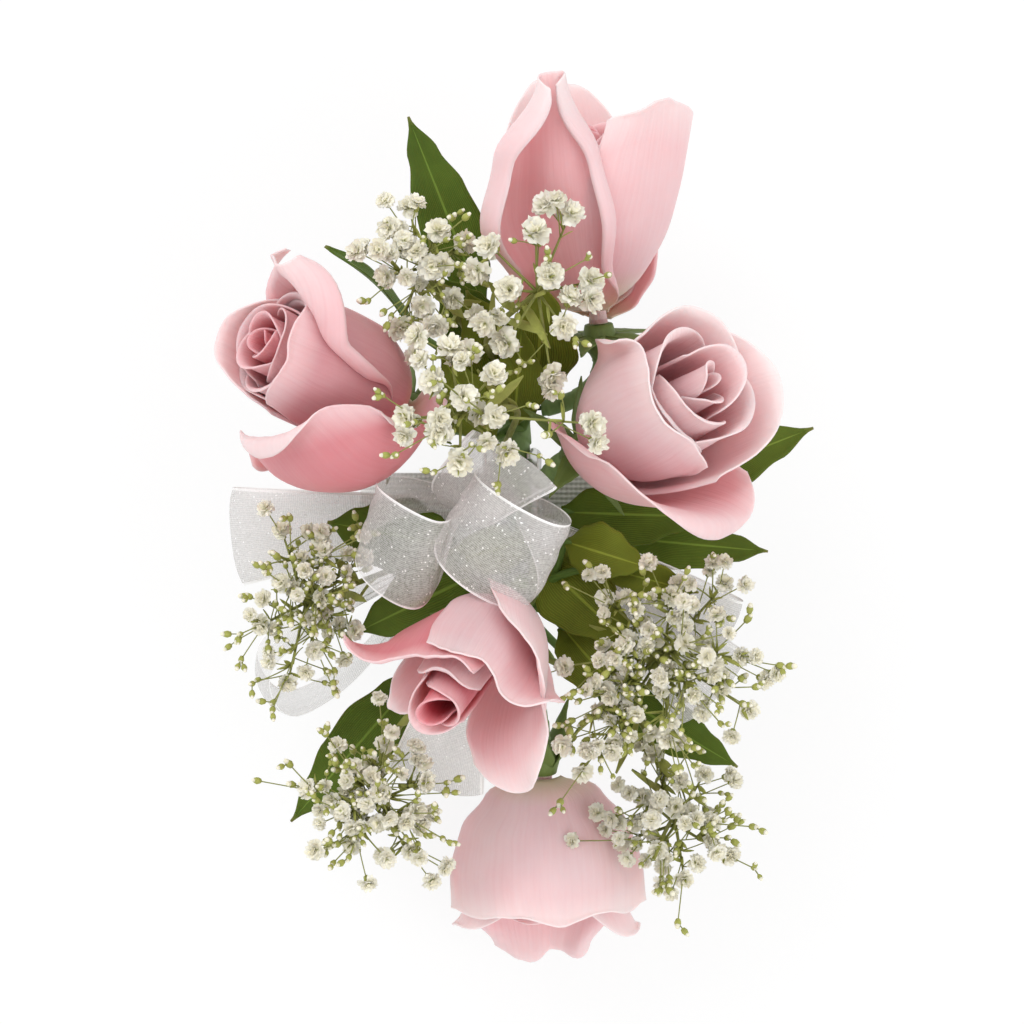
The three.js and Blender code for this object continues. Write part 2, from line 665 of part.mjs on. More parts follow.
const ROSES = [
  {
    name: "top",
    hip: [18, 31, 11],
    axis: [-0.08, 0.97, 0.2],
    foot: [21, 0],
    length: 47,
    twist: 55,
    sepalAngle: 5,
    petals: [
      {
        azimuth: 54,
        half: [24, 29],
        lean: [62, 35, 18, 13, 8],
        roll: [0.05, 0.2],
        curl: [30, 125],
        outline: [0.2, 0.7, 0.97, 1, 0.8],
        round: 0.2,
        skew: 0.07,
      },
      {
        azimuth: -13,
        half: [30, 14],
        length: 58,
        lean: [72, 33, 9, 1, -4],
        roll: [0.74, 0.55],
        rollFrom: [0, 0.34],
        curl: [190, 200],
        pinch: 0.9,
        outline: [0.2, 0.72, 1, 0.8, 0.34],
        round: 0.05,
        lip: 8,
      },
      { azimuth: 196, half: [17, 17], length: 53, lean: [75, 33, 9, 0, 4] },
      { azimuth: 164, half: [12, 12], length: 38, lean: [79, 40, 12, 4, 4] },
    ],
  },
  {
    name: "left",
    hip: [-17, 19, 19],
    axis: [-0.72, 0.33, 0.61],
    foot: [17, 150],
    length: 42,
    twist: 60,
    sepalAngle: 5,
    petals: [
      {
        azimuth: 80,
        half: [21, 20],
        length: 43,
        lean: [62, 22, 4, 4, 12],
        roll: [0.34, 0.2],
        curl: [165, 90],
        pinch: 0.9,
        outline: [0.2, 0.7, 0.97, 0.9, 0.34],
        round: 0.1,
        lip: 30,
      },
      { azimuth: -165, half: [18, 18], length: 40, lean: [66, 24, 1, -5, -2] },
      { azimuth: 4, half: [16, 16], length: 41, lean: [72, 27, 2, -8, -6], roll: [0.05, 0.05], round: 0.14 },
      {
        azimuth: -66,
        half: [25, 27],
        length: 45,
        lean: [88, 68, 14, -26, -42],
        roll: [0.2, 0.14],
        curl: [120, 120],
        lip: 190,
        lipShare: 0.16,
        round: 0.34,
      },
    ],
  },
  {
    name: "right",
    hip: [11, 11, 18],
    axis: [0.6, 0.32, 0.73],
    foot: [6, 30],
    length: 43,
    twist: 165,
    sepalAngle: -5,
    petals: [
      { azimuth: -122, half: [24, 23], length: 36, lean: [66, 28, 12, 9, 10], curl: [50, 0], round: 0.2 },
      {
        azimuth: 4,
        half: [22, 20],
        length: 39,
        lean: [68, 30, 9, 2, 3],
        roll: [0.3, 0.1],
        rollFrom: [0.4, 0.9],
        curl: [150, 60],
        round: 0.16,
      },
      { azimuth: 155, half: [23, 23], length: 41, lean: [74, 34, 13, 10, 20], curl: [50, 50], round: 0.24 },
      {
        azimuth: 74,
        half: [22, 22],
        length: 38,
        lean: [80, 42, 22, 22, 44],
        roll: [0.15, 0.15],
        curl: [80, 80],
        lip: 100,
        lipShare: 0.12,
      },
    ],
  },
  {
    name: "front",
    hip: [0.5, -16, 23],
    axis: [-0.34, -0.5, 0.8],
    foot: [-14, 75],
    length: 35,
    twist: 55,
    sepalAngle: -30,
    petals: [
      {
        azimuth: 50,
        half: [13, 20],
        lean: [62, 25, 6, -3, 2],
        roll: [0.05, 0.8],
        curl: [20, 100],
        rollFrom: [0.45, 1],
        round: 0.02,
      },
      {
        azimuth: -8,
        half: [19, 13],
        lean: [66, 29, 9, -2, 2],
        roll: [0.7, 0.05],
        curl: [95, 20],
        rollFrom: [0.4, 1],
        round: 0.03,
      },
      { azimuth: -100, half: [14, 14], length: 41, lean: [72, 30, 14, 28, 42], round: 0.25, lip: 20 },
      {
        azimuth: -46,
        half: [17, 16],
        length: 33,
        lean: [76, 38, 22, 16, 14],
        roll: [0.2, 0.1],
        curl: [110, 50],
      },
    ],
  },
  {
    name: "tail",
    hip: [6, -46, 9],
    axis: [0.03, -0.96, -0.25],
    foot: [-32, 68],
    length: 36,
    twist: 0,
    sepalAngle: 55,
    petals: [
      {
        azimuth: 176,
        half: [21, 21],
        length: 46,
        lean: [68, 24, 12, 6, 4],
        roll: [0.36, 0.3],
        curl: [165, 150],
        pinch: 0.45,
        outline: [0.2, 0.7, 0.97, 0.95, 0.7],
        round: 0.08,
      },
      { azimuth: -88, half: [18, 18], lean: [72, 28, 16, 13, 26], roll: [0.15, 0.1], curl: [60, 0] },
      { azimuth: 82, half: [18, 18], length: 35, lean: [75, 30, 17, 15, 30], roll: [0.1, 0.15], curl: [0, 60] },
      { azimuth: -3, half: [24, 24], length: 31, lean: [80, 34, 23, 19, 20], cup: 1.3, round: 0.07 },
    ],
  },
];

const SPRAYS = [
  {
    name: "upper_left",
    root: [23, 150],
    centre: [-18, 48, 42],
    bow: [1.5, 1, -3.5],
    reach: [9, 14, 6],
    florets: 9,
    turn: 0,
  },
  {
    name: "upper",
    root: [27, 105],
    centre: [5, 43, 48],
    bow: [-6.5, 0, 4],
    reach: [13, 18, 6],
    florets: 9,
    turn: 40,
  },
  {
    name: "centre_left",
    root: [14, 105],
    centre: [-10, 19, 58],
    bow: [6, 4, 2],
    reach: [12, 13, 5],
    florets: 9,
    turn: 80,
  },
  {
    name: "left",
    root: [-6, 180],
    centre: [-41, -18, 30],
    bow: [4.8, 2.5, -12],
    reach: [13, 18, 6],
    florets: 9,
    turn: 10,
  },
  {
    name: "lower_left",
    root: [-27, 180],
    centre: [-28, -58, 28],
    bow: [-6, 0, -10],
    reach: [15, 12, 6],
    florets: 9,
    turn: 60,
  },
  {
    name: "right",
    root: [-16, 10],
    centre: [30, -28, 37],
    bow: [0, -2, -8],
    reach: [21, 20, 7],
    florets: 11,
    turn: 30,
  },
  {
    name: "lower_right",
    root: [-28, 5],
    centre: [33, -63, 17],
    bow: [6, 5, -2],
    reach: [13, 15, 6],
    florets: 9,
    turn: 90,
  },
];

const SPRIGS = [
  {
    name: "top",
    root: [27, 180],
    leaves: [
      { knee: [-6, 31, 5], from: [-6, 42, 4], tip: [-21, 80, 8], half: 6.5, arch: 2 },
      {
        knee: [-8, 29, 4],
        from: [-20, 37, 3],
        tip: [-38, 54, 4],
        half: 5,
        arch: 1.5,
        up: [0.6, 0.6, 0.2],
      },
      { knee: [-5, 31, 9], from: [-6, 34, 12], tip: [-14, 47, 19], half: 6, arch: 1.5 },
    ],
  },
  {
    name: "right",
    root: [-2, -20],
    leaves: [
      { knee: [10, -1, 4], from: [22, 2, 3], tip: [61, 17, 8], half: 7, arch: 2 },
      { knee: [10, -3, 3], from: [20, -5, 2.5], tip: [52, -8, 4], half: 5.5, arch: 1 },
    ],
  },
  {
    name: "centre_upper",
    root: [17, 60],
    leaves: [{ knee: [3.5, 20, 13], from: [5, 24, 15], tip: [6, 46, 30], half: 8, arch: 2 }],
  },
  {
    name: "centre_lower",
    root: [-19, 35],
    leaves: [
      { knee: [7, -20, 12], from: [10, -23, 15], tip: [23, -38, 20], half: 6.5, arch: 2 },
      { knee: [8, -14, 17], from: [11, -6, 24], tip: [27, -11, 31], half: 6, arch: 2 },
      { knee: [9, -13, 20], from: [18, -11, 27], tip: [37, -16, 29], half: 4, arch: 1 },
    ],
  },
  {
    name: "lower_left",
    root: [-21, 195],
    leaves: [{ knee: [-9, -24, 3], from: [-18, -32, 1], tip: [-45, -63, 2], half: 6.5, arch: 2 }],
  },
  {
    name: "lower_right",
    root: [-22, -20],
    leaves: [{ knee: [8, -26, 3], from: [16, -34, 0], tip: [46, -52, 0], half: 6, arch: 2 }],
  },
];

const BOW = [
  {
    name: "outer",
    loops: [
      { leave: 172, tip: [-57, -5, 6], width: [0.2, 1, 0.1], height: 5, neck: 1 },
      { leave: -35, tip: [42, -37, 8], width: [0.6, 0.8, 0.2], height: 4, neck: 1 },
    ],
  },
  {
    name: "lower",
    loops: [
      { leave: 210, tip: [-50, -37, 13], width: [0.25, -0.2, 0.95], height: 9, belly: 1, neck: 1.4 },
      { leave: 215, tip: [-16, -56, 13], width: [1, -0.2, 0.1], height: 4, neck: 1.4 },
    ],
  },
  {
    name: "middle",
    loops: [
      {
        leave: 190,
        tip: [-24, -4, 47],
        bend: [-6, -1, -5],
        width: [0.29, 0.96, 0.1],
        height: 9,
        belly: 1,
        neck: 0.8,
      },
      { leave: -20, tip: [42, -27, 20], width: [0.3, 1, 0.2], height: 6, neck: 1 },
    ],
  },
  {
    name: "inner",
    loops: [
      { leave: 180, tip: [1, 11, 46], bend: [-9, -4, 0], width: [0.8, -0.5, 0.2], height: 3, neck: 1 },
      {
        leave: -15,
        tip: [1.5, -5, 51],
        bend: [1.5, 0, 0],
        width: [0.47, 0.88, 0.1],
        height: 12,
        belly: 1,
        neck: 1.2,
      },
    ],
  },
];

const corsage = new THREE.Group();
corsage.add(wristlet(), clip(), spine(), bow(BOW));
ROSES.forEach((bloom) => corsage.add(rose(bloom)));
SPRAYS.forEach((s) => corsage.add(spray(s)));
SPRIGS.forEach((s) => corsage.add(leafSprig(s)));

export default corsage;
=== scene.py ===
import math
import random

import bpy
from mathutils import Matrix, Vector, noise


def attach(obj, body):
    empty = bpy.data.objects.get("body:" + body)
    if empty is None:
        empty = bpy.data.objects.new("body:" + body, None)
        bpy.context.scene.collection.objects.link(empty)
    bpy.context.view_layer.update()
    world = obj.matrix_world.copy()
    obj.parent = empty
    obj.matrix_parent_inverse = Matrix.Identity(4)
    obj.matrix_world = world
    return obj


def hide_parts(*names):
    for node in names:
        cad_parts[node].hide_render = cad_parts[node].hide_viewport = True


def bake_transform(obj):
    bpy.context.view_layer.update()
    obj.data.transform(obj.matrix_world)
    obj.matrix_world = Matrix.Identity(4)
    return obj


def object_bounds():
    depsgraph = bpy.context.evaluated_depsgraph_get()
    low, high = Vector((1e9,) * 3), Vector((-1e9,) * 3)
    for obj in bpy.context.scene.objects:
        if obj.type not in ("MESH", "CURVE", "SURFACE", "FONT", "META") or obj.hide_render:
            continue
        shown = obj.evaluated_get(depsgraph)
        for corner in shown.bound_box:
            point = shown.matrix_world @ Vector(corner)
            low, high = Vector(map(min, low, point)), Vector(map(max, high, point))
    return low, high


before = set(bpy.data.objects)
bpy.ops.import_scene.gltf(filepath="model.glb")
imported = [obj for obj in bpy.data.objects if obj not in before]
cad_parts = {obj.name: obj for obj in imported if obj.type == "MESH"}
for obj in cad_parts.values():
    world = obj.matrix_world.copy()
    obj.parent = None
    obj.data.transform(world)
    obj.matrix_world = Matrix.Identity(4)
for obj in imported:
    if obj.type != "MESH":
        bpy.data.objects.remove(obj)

bl_info = {
    "name": "Wrist Corsage",
    "version": (1, 0, 0),
    "blender": (4, 5, 0),
    "location": "View3D > Sidebar > Corsage",
    "description": "Dresses a wrist corsage of roses, small white blossom, leaves and sheer ribbon",
    "category": "Add Mesh",
}

CAD_BOX = [list(corner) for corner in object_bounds()]
GOLDEN_ANGLE = math.pi * (3 - math.sqrt(5))

# Sizes of the construction, in millimetres. +Z points away from the wrist, +Y along the forearm.
STRAP_WIDTH = 16
STRAP_THICK = 1.2
STRAP_HALF_FLAT = 14.3
STRAP_BEND = 16
CLIP_LENGTH = 26
CLIP_WIDTH = 12
CLIP_THICK = 0.8
CLIP_Z = 1.5
PRONG_WIDTH = 3.5
SPINE_RADIUS = 4
SPINE_TOP = 30
SPINE_TAIL = 37
SPINE_Z = 6.6
TAPE_PITCH = 7
STEM_RADIUS = 1.9
WIRE_RADIUS = 0.5
WIRE_BARE = 2
HIP_RADIUS = 3.6
HIP_HEIGHT = 7
SEAT_GAP = 0.3
GUARD_STEP = 1.3
RIBBON_WIDTH = 20
RIBBON_PINCH = 0.12
RIBBON_BELLY = 0.3
GATHER_RADIUS = 2.6
GATHER_PITCH = 2.7
GATHER_FIRST = 12.1
TIE_REACH = 3.4
TIE_RADIUS = 0.5
LEAF_THICK = 0.45
SEPAL_COUNT = 5
SEPAL_LENGTH = 13
SEPAL_HALF = 2.6
SEPAL_THICK = 0.5
STEM_LAP = 3.2
STEM_LEAVES = 7
STEM_LEAF_SCALE = 2.6
HIP_PROFILE = (
    (0, STEM_RADIUS * 0.95), (0.15, 2.3), (0.3, 3.2), (0.45, HIP_RADIUS), (0.65, 3.5), (0.85, 3.1), (1, 2.85))

# How finely the sheets are divided, across and along.
HEART_GRID = (26, 24)
GUARD_GRID = (36, 36)
LEAF_GRID = (14, 34)
LOOP_GRID = (20, 110)
SPINE_GRID = (48, 220)
STRAP_ROWS = 300

# A floret's rings of petals: how many, their rise in degrees, their size.
FLORET_RINGS = ((7, -14, 1.0), (7, 14, 1.0), (6, 40, 0.9), (4, 66, 0.72))

# The stage, in metres.
FLOOR_REACH = 3
FLOOR_GLOW = 0.82
SENSOR_WIDTH = 36
CAMERA_AIM = 0.02
LAMPS = (("key", (-0.55, 0.75, 1.15), 0.9), ("fill", (0.8, -0.5, 0.9), 1.0))

# Roses: hip is the foot of the calyx, axis the way the bloom points, foot its place on the spine
# (distance along it, degrees round it). A petal's lean lists its angles from the axis, claw to rim, and its
# half is its half width to each side.
# Its roll is the share of each half that curls back, by curl degrees, on its low and its high side. A heart's
# own petals have an azimuth, a radius, a wrap and a height.
# A petal's tint, and inner for its inner face, set how deep its pink is. Besides the petal's own colour, high
# values paint shade on petals that lie in shade, and low or negative ones paint light into insides that lie
# in shade. The right rose's lower scale on its heart tints paints light into its shaded heart the same way.
ROSES = dict(
    top=dict(
        hip=(18, 31, 11), axis=(-0.08, 0.97, 0.2), foot=(21, 0), length=47, twist=55, sepal=5,
        heart=dict(count=8, radius=11, tall=36),
        petals=[
            dict(azimuth=54, half=(18, 29), lean=(62, 35, 18, 13, 8), roll=(0.05, 0.2), curl=(30, 125),
                 outline=(0.22, 0.78, 1.06, 1.04, 0.9), round=0.2, skew=0.16, lip=45, lip_share=0.05,
                 tint=0.2),
            dict(azimuth=-13, half=(30, 14), length=58, lean=(72, 33, 9, 1, -4), roll=(0.74, 0.55),
                 roll_from=(0, 0.34), curl=(190, 200), pinch=0.9, outline=(0.2, 0.72, 1, 0.8, 0.34),
                 round=0.05, lip=8, tint=0.44, inner=-0.15),
            dict(azimuth=196, half=(17, 17), length=53, lean=(75, 33, 9, 0, 4), curl=(40, 40), tint=0.05),
            dict(azimuth=164, half=(12, 12), length=38, lean=(79, 40, 12, 4, 4), curl=(40, 40)),
        ]),
    left=dict(
        hip=(-17, 19, 19), axis=(-0.72, 0.33, 0.61), foot=(17, 150), length=42, twist=60, sepal=5,
        heart=dict(count=12, radius=12, tall=34),
        petals=[
            dict(azimuth=80, half=(21, 20), length=43, lean=(62, 22, 4, 4, 12), roll=(0.34, 0.2),
                 curl=(165, 90), pinch=0.9, outline=(0.2, 0.7, 0.97, 0.9, 0.34), round=0.1, lip=30,
                 tint=0.3),
            dict(azimuth=-165, half=(18, 18), length=40, lean=(66, 24, 1, -5, -2), curl=(40, 40), tint=0.3),
            dict(azimuth=4, half=(16, 16), length=41, lean=(72, 27, 2, -8, -6), roll=(0.05, 0.05),
                 curl=(30, 30), round=0.14, lip=45, lip_share=0.06, tint=0.58),
            dict(azimuth=-66, half=(25, 27), length=48, lean=(88, 69, 17, -26, -42), roll=(0.2, 0.14),
                 curl=(120, 120), lip=190, lip_share=0.16, round=0.34, tint=0.66, inner=0.2),
        ]),
    right=dict(
        hip=(11, 11, 18), axis=(0.6, 0.32, 0.73), foot=(6, 30), length=43, twist=165, sepal=-5, blush_and_shade=0.4,
        heart=dict(count=3, radius=4, tall=36,
                   own=[(188, 6, 1.9, 38), (40, 8, 1.5, 36), (-80, 9.5, 1.4, 37),
                         (130, 11, 1.4, 37), (15, 11, 1.2, 35)]),
        petals=[
            dict(azimuth=-122, half=(24, 16), length=36, lean=(66, 28, 12, 9, 10), curl=(50, 0), lip=45,
                 round=0.2, tint=0.0, inner=-0.3),
            dict(azimuth=4, half=(22, 20), length=39, lean=(68, 30, 9, 2, 3), roll=(0.3, 0.1),
                 roll_from=(0.4, 0.9), curl=(150, 60), lip=60, lip_share=0.06, round=0.16, tint=0.2,
                 inner=-0.1),
            dict(azimuth=155, half=(23, 23), length=41, lean=(74, 34, 13, 10, 20), curl=(50, 50), lip=45,
                 round=0.24, tint=0.1, inner=-0.25),
            dict(azimuth=68, half=(27, 24), length=43, lean=(80, 42, 24, 27, 46), roll=(0.15, 0.15),
                 curl=(80, 80), lip=100, lip_share=0.12, tint=0.42),
        ]),
    front=dict(
        hip=(0.5, -16, 23), axis=(-0.34, -0.5, 0.8), foot=(-14, 75), length=35, twist=55, sepal=-30,
        heart=dict(count=0,
                   own=[(120, 3.1, 3.0, 33.5), (-40, 4.0, 2.6, 33), (165, 4.9, 1.9, 33.5),
                         (25, 5.7, 1.5, 32)]),
        extra=[
            dict(azimuth=152, half=(6.5, 6.5), length=32, lean=(72, 28, 12, 14, 20), curl=(30, 30)),
        ],
        petals=[
            dict(azimuth=50, half=(13, 20), lean=(62, 25, 6, -3, 2), roll=(0.05, 0.8), curl=(20, 100),
                 roll_from=(0.45, 1), round=0.02, lip=55, lip_share=0.07, tint=0.72, inner=0.5),
            dict(azimuth=-8, half=(19, 13), length=35, lean=(66, 29, 9, -2, 2), roll=(0.7, 0.05),
                 curl=(95, 20), roll_from=(0.4, 1), round=0.03, lip=45, lip_share=0.07, tint=0.36,
                 inner=0.1),
            dict(azimuth=-100, half=(14, 14), length=41, lean=(72, 30, 14, 28, 42), curl=(30, 30),
                 round=0.25, lip=20, tint=0.16),
            dict(azimuth=-46, half=(17, 16), length=33, lean=(76, 38, 22, 16, 14), roll=(0.2, 0.1),
                 curl=(110, 50), tint=0.05),
        ]),
    tail=dict(
        hip=(6, -46, 9), axis=(0.03, -0.96, -0.25), foot=(-32, 68), length=36, twist=0, sepal=55,
        heart=dict(count=6, radius=9, tall=27),
        petals=[
            dict(azimuth=176, half=(21, 21), length=46, lean=(68, 24, 12, 6, 4), roll=(0.36, 0.3),
                 curl=(165, 150), pinch=0.45, outline=(0.2, 0.7, 0.97, 0.95, 0.7), round=0.08, wave=1.4,
                 waves=2.4, tint=0.35),
            dict(azimuth=-88, half=(18, 18), length=36, lean=(72, 28, 16, 13, 26), roll=(0.15, 0.1),
                 curl=(60, 0)),
            dict(azimuth=82, half=(18, 18), length=35, lean=(75, 30, 17, 15, 30), roll=(0.1, 0.15),
                 curl=(0, 60)),
            dict(azimuth=-3, half=(24, 24), length=31, lean=(80, 34, 23, 19, 20), roll=(0.07, 0.07),
                 curl=(40, 40), cup=1.3, round=0.03, outline=(0.2, 0.7, 0.97, 1.02, 0.96), lip=40,
                 lip_share=0.06, wave=1.3, waves=2.6, tint=0.12),
        ]),
)

# Sprays: root on the spine, centre and reach of the head, bow of the stem, count of forks with side twigs
# on each, the share of these that open, and own tips of single forks.
SPRAYS = dict(
    upper_left=dict(root=(23, 150), centre=(-18, 48, 42), bow=(1.5, 1, -3.5), reach=(9, 14, 6), count=9,
        turn=0, open=0.55, side=5, size=0.95),
    upper=dict(root=(27, 105), centre=(5, 43, 48), bow=(-6.5, 0, 4), reach=(13, 18, 6), count=9, turn=40,
        open=0.35, side=2, size=1.08),
    centre_left=dict(root=(14, 105), centre=(-10, 19, 58), bow=(6, 4, 2), reach=(12, 13, 5), count=9,
        turn=80, open=0.5, side=3, size=1.02, own=((15, 17, 60),)),
    left=dict(root=(-6, 180), centre=(-41, -18, 30), bow=(4.8, 2.5, -12), reach=(13, 18, 6), count=9,
        turn=10, open=0.25, side=12, size=0.78),
    lower_left=dict(root=(-27, 180), centre=(-28, -58, 28), bow=(-6, 0, -10), reach=(15, 12, 6), count=9,
        turn=60, open=0.42, side=12, size=0.8),
    right=dict(root=(-16, 10), centre=(30, -28, 37), bow=(0, -2, -8), reach=(21, 20, 7), count=11, turn=30,
        open=0.4, side=13, size=0.78, own=((10, -46, 35), (14, -51, 32), (20, -47, 34))),
    lower_right=dict(root=(-28, 5), centre=(33, -63, 17), bow=(6, 5, -2), reach=(13, 15, 6), count=9,
        turn=90, open=0.45, side=9, size=0.8),
)

# Leaf sprigs: each leaf's stalk runs from the root over its knee, and shade goes from dark to olive.
SPRIGS = dict(
    top=dict(root=(27, 180), shade=0.1, leaves=[
        dict(knee=(-6, 31, 5), foot=(-6, 42, 4), tip=(-21, 80, 8), half=6.5, arch=2),
        dict(knee=(-8, 29, 4), foot=(-20, 37, 3), tip=(-38, 54, 4), half=5, arch=1.5, up=(0.6, 0.6, 0.2)),
        dict(knee=(-5, 31, 9), foot=(-6, 34, 12), tip=(-14, 47, 19), half=6, arch=1.5)]),
    right=dict(root=(-2, -20), shade=0.3, leaves=[
        dict(knee=(10, -1, 4), foot=(22, 2, 3), tip=(61, 17, 8), half=7, arch=2),
        dict(knee=(10, -3, 3), foot=(20, -5, 2.5), tip=(52, -8, 4), half=5.5, arch=1),
        dict(knee=(9, -2, 5), foot=(10, 0, 7.5), tip=(39, -1, 10), half=7, arch=1.5)]),
    centre_upper=dict(root=(17, 60), shade=0.8, leaves=[
        dict(knee=(3.5, 20, 13), foot=(5, 24, 15), tip=(6, 46, 30), half=8, arch=2),
        dict(knee=(1, 20, 13), foot=(0, 23, 17), tip=(-9, 44, 27), half=7, arch=2),
        dict(knee=(2, 19, 13), foot=(0.5, 18, 18), tip=(2, 37, 33), half=6, arch=2),
        dict(knee=(0, 17, 13), foot=(-4, 15, 18), tip=(-14, 31, 30), half=6, arch=2)]),
    centre_lower=dict(root=(-19, 35), shade=0.9, leaves=[
        dict(knee=(7, -20, 12), foot=(10, -23, 15), tip=(23, -38, 20), half=6.5, arch=2),
        dict(knee=(6, -16, 12), foot=(4, -8, 15), tip=(24, -27, 23), half=8, arch=2),
        dict(knee=(7, -12, 11), foot=(6, -5, 14), tip=(-16, -11, 17), half=5, arch=1),
        dict(knee=(8, -14, 17), foot=(11, -6, 24), tip=(27, -11, 31), half=6, arch=2),
        dict(knee=(9, -13, 20), foot=(18, -11, 27), tip=(37, -16, 29), half=4, arch=1)]),
    lower_left=dict(root=(-21, 195), shade=0.2, leaves=[
        dict(knee=(-9, -24, 3), foot=(-18, -32, 1), tip=(-45, -63, 2), half=6.5, arch=2),
        dict(knee=(-8, -16, 8), foot=(-11, -7, 15), tip=(-37, -2, 18), half=8, arch=2),
        dict(knee=(-8, -18, 8), foot=(-4, -11, 14), tip=(-31, -24, 21), half=8, arch=2)]),
    lower_right=dict(root=(-22, -20), shade=0.2, leaves=[
        dict(knee=(8, -26, 3), foot=(16, -34, 0), tip=(46, -52, 0), half=6, arch=2)]),
)

# Ribbon loops, pair by pair up the tie: the way each leaves the gather, the tip of its fold, and which way
# the ribbon's width lies there.
BOW = dict(
    outer=[
        dict(leave=172, tip=(-57, -5, 6), width=(0.2, 1, 0.1), height=5, neck=0.8),
        dict(leave=-35, tip=(42, -37, 8), width=(0.6, 0.8, 0.2), height=4, neck=0.8)],
    lower=[
        dict(leave=210, tip=(-50, -37, 13), width=(0.25, -0.2, 0.95), height=9, belly=1, neck=1.1),
        dict(leave=215, tip=(-16, -56, 13), width=(1, -0.2, 0.1), height=4, neck=1.1)],
    middle=[
        dict(leave=190, tip=(-22, -9, 48), bend=(-4, 5, -6), width=(0.25, 0.9, 0.4), height=12, belly=1,
             neck=1.4),
        dict(leave=-20, tip=(42, -27, 20), width=(0.3, 1, 0.2), height=6, neck=0.8)],
    inner=[
        dict(leave=180, tip=(1, 11, 46), bend=(-9, -4, 0), width=(0.8, -0.5, 0.2), height=3, neck=0.8),
        dict(leave=-15, tip=(-2, -8.5, 51), bend=(0, 5, 0), width=(0.47, 0.88, 0.4), height=14, belly=1,
             neck=1.2)],
)


# Settings

def tone(name, description, default):
    return bpy.props.FloatVectorProperty(name=name, description=description, subtype="COLOR", default=default)


def amount(name, description, default, **kind):
    return bpy.props.FloatProperty(name=name, description=description, default=default, **kind)


class CorsageRoseSettings(bpy.types.PropertyGroup):
    """The petals' thickness and colours"""
    petal_thickness: amount("Petal Thickness", "Thickness of a petal", 0.00045, unit="LENGTH")
    pale: tone("Pale Pink", "Colour of the open petals", (0.835, 0.56, 0.575))
    # Blush also carries painted light bounced inside the bloom on the inner faces, and painted shade on
    # petals that lie in shade.
    blush: tone("Blush", "Colour towards the claw and inside the bloom", (0.71, 0.26, 0.295))
    # Deep rose is partly the heart's own deeper colour and partly painted shade in the heart's hollow.
    deep: tone("Deep Rose", "Colour deep in the heart", (0.5, 0.05, 0.075))
    # The rim tone is partly the margin's own paler colour and partly a painted highlight on the rolled rims.
    rim: tone("Rim", "Colour of the rolled rims", (0.88, 0.76, 0.75))
    claw: tone("Claw", "Colour at the foot of a petal", (0.75, 0.68, 0.42))


class CorsageGreenSettings(bpy.types.PropertyGroup):
    """The colours of leaves, stems and small blossom"""
    leaf_dark: tone("Dark Leaf", "Colour of the dark leaves", (0.062, 0.115, 0.008))
    leaf_olive: tone("Olive Leaf", "Colour of the broad leaves", (0.15, 0.175, 0.012))
    stem: tone("Stem", "Colour of stems and sepals", (0.13, 0.19, 0.035))
    tape: tone("Tape", "Colour of the florist's tape", (0.16, 0.25, 0.07))
    twig: tone("Twig", "Colour of the blossom's twigs", (0.24, 0.255, 0.055))
    floret: tone("Floret", "Colour of the small blossom", (0.97, 0.94, 0.83))
    floret_radius: amount("Floret Radius", "Radius of an open floret", 0.0029, unit="LENGTH")


class CorsageRibbonSettings(bpy.types.PropertyGroup):
    """The sheer ribbon"""
    colour: tone("Ribbon", "Colour of the sheer ribbon", (0.78, 0.765, 0.75))
    opacity: amount("Opacity", "How much one layer of the ribbon covers", 0.48, subtype="FACTOR")
    # The selvages are denser and more opaque; their near-white colour is a painted highlight.
    selvage: amount("Selvage", "Share of the half width that each bright edge takes", 0.06, subtype="FACTOR")


class CorsageStrapSettings(bpy.types.PropertyGroup):
    """The elastic, the clip and the wire"""
    elastic: tone("Elastic", "Colour of the woven elastic", (0.82, 0.81, 0.78))
    metal: tone("Clip", "Colour of the plated clip", (0.72, 0.72, 0.7))
    wire: tone("Wire", "Colour of the lacquered wire", (0.05, 0.08, 0.025))
    ribs: bpy.props.IntProperty(name="Ribs", description="Cords across the width of the elastic", default=16)


class CorsageStageSettings(bpy.types.PropertyGroup):
    """The camera, the floor and the light"""
    lens: amount("Lens", "Focal length of the camera", 180, unit="CAMERA")
    distance: amount("Camera Distance", "From the middle of the flowers to the camera", 1.024, unit="LENGTH")
    floor: tone("Floor", "Colour of the floor", (0.95, 0.95, 0.95))
    key: amount("Key Light", "Power of the main lamp", 7.6, unit="POWER")
    fill: amount("Fill Light", "Power of the fill lamp", 4.5, unit="POWER")
    sky: amount("Sky", "Strength of the even light all round", 0.87)


# Shader maths

class Value:
    """A socket of a material. Arithmetic on it adds Math nodes."""

    def __init__(self, tree, socket):
        self.tree = tree
        self.socket = socket

    def math(self, operation, *inputs, clamp=False):
        node = self.tree.nodes.new("ShaderNodeMath")
        node.operation = operation
        node.use_clamp = clamp
        for slot, value in zip(node.inputs, inputs):
            if isinstance(value, Value):
                self.tree.links.new(value.socket, slot)
            else:
                slot.default_value = value
        return Value(self.tree, node.outputs[0])

    def __add__(self, other):
        return self.math("ADD", self, other)

    def __radd__(self, other):
        return self.math("ADD", other, self)

    def __sub__(self, other):
        return self.math("SUBTRACT", self, other)

    def __rsub__(self, other):
        return self.math("SUBTRACT", other, self)

    def __mul__(self, other):
        return self.math("MULTIPLY", self, other)

    def __rmul__(self, other):
        return self.math("MULTIPLY", other, self)

    def __truediv__(self, other):
        return self.math("DIVIDE", self, other)

    def __pow__(self, other):
        return self.math("POWER", self, other)

    def __abs__(self):
        return self.math("ABSOLUTE", self)

    def clamp(self):
        return self.math("ADD", self, 0, clamp=True)

    def above(self, edge, soft):
        """0 below edge, rising to 1 over soft."""
        return ((self - edge) / soft).clamp()


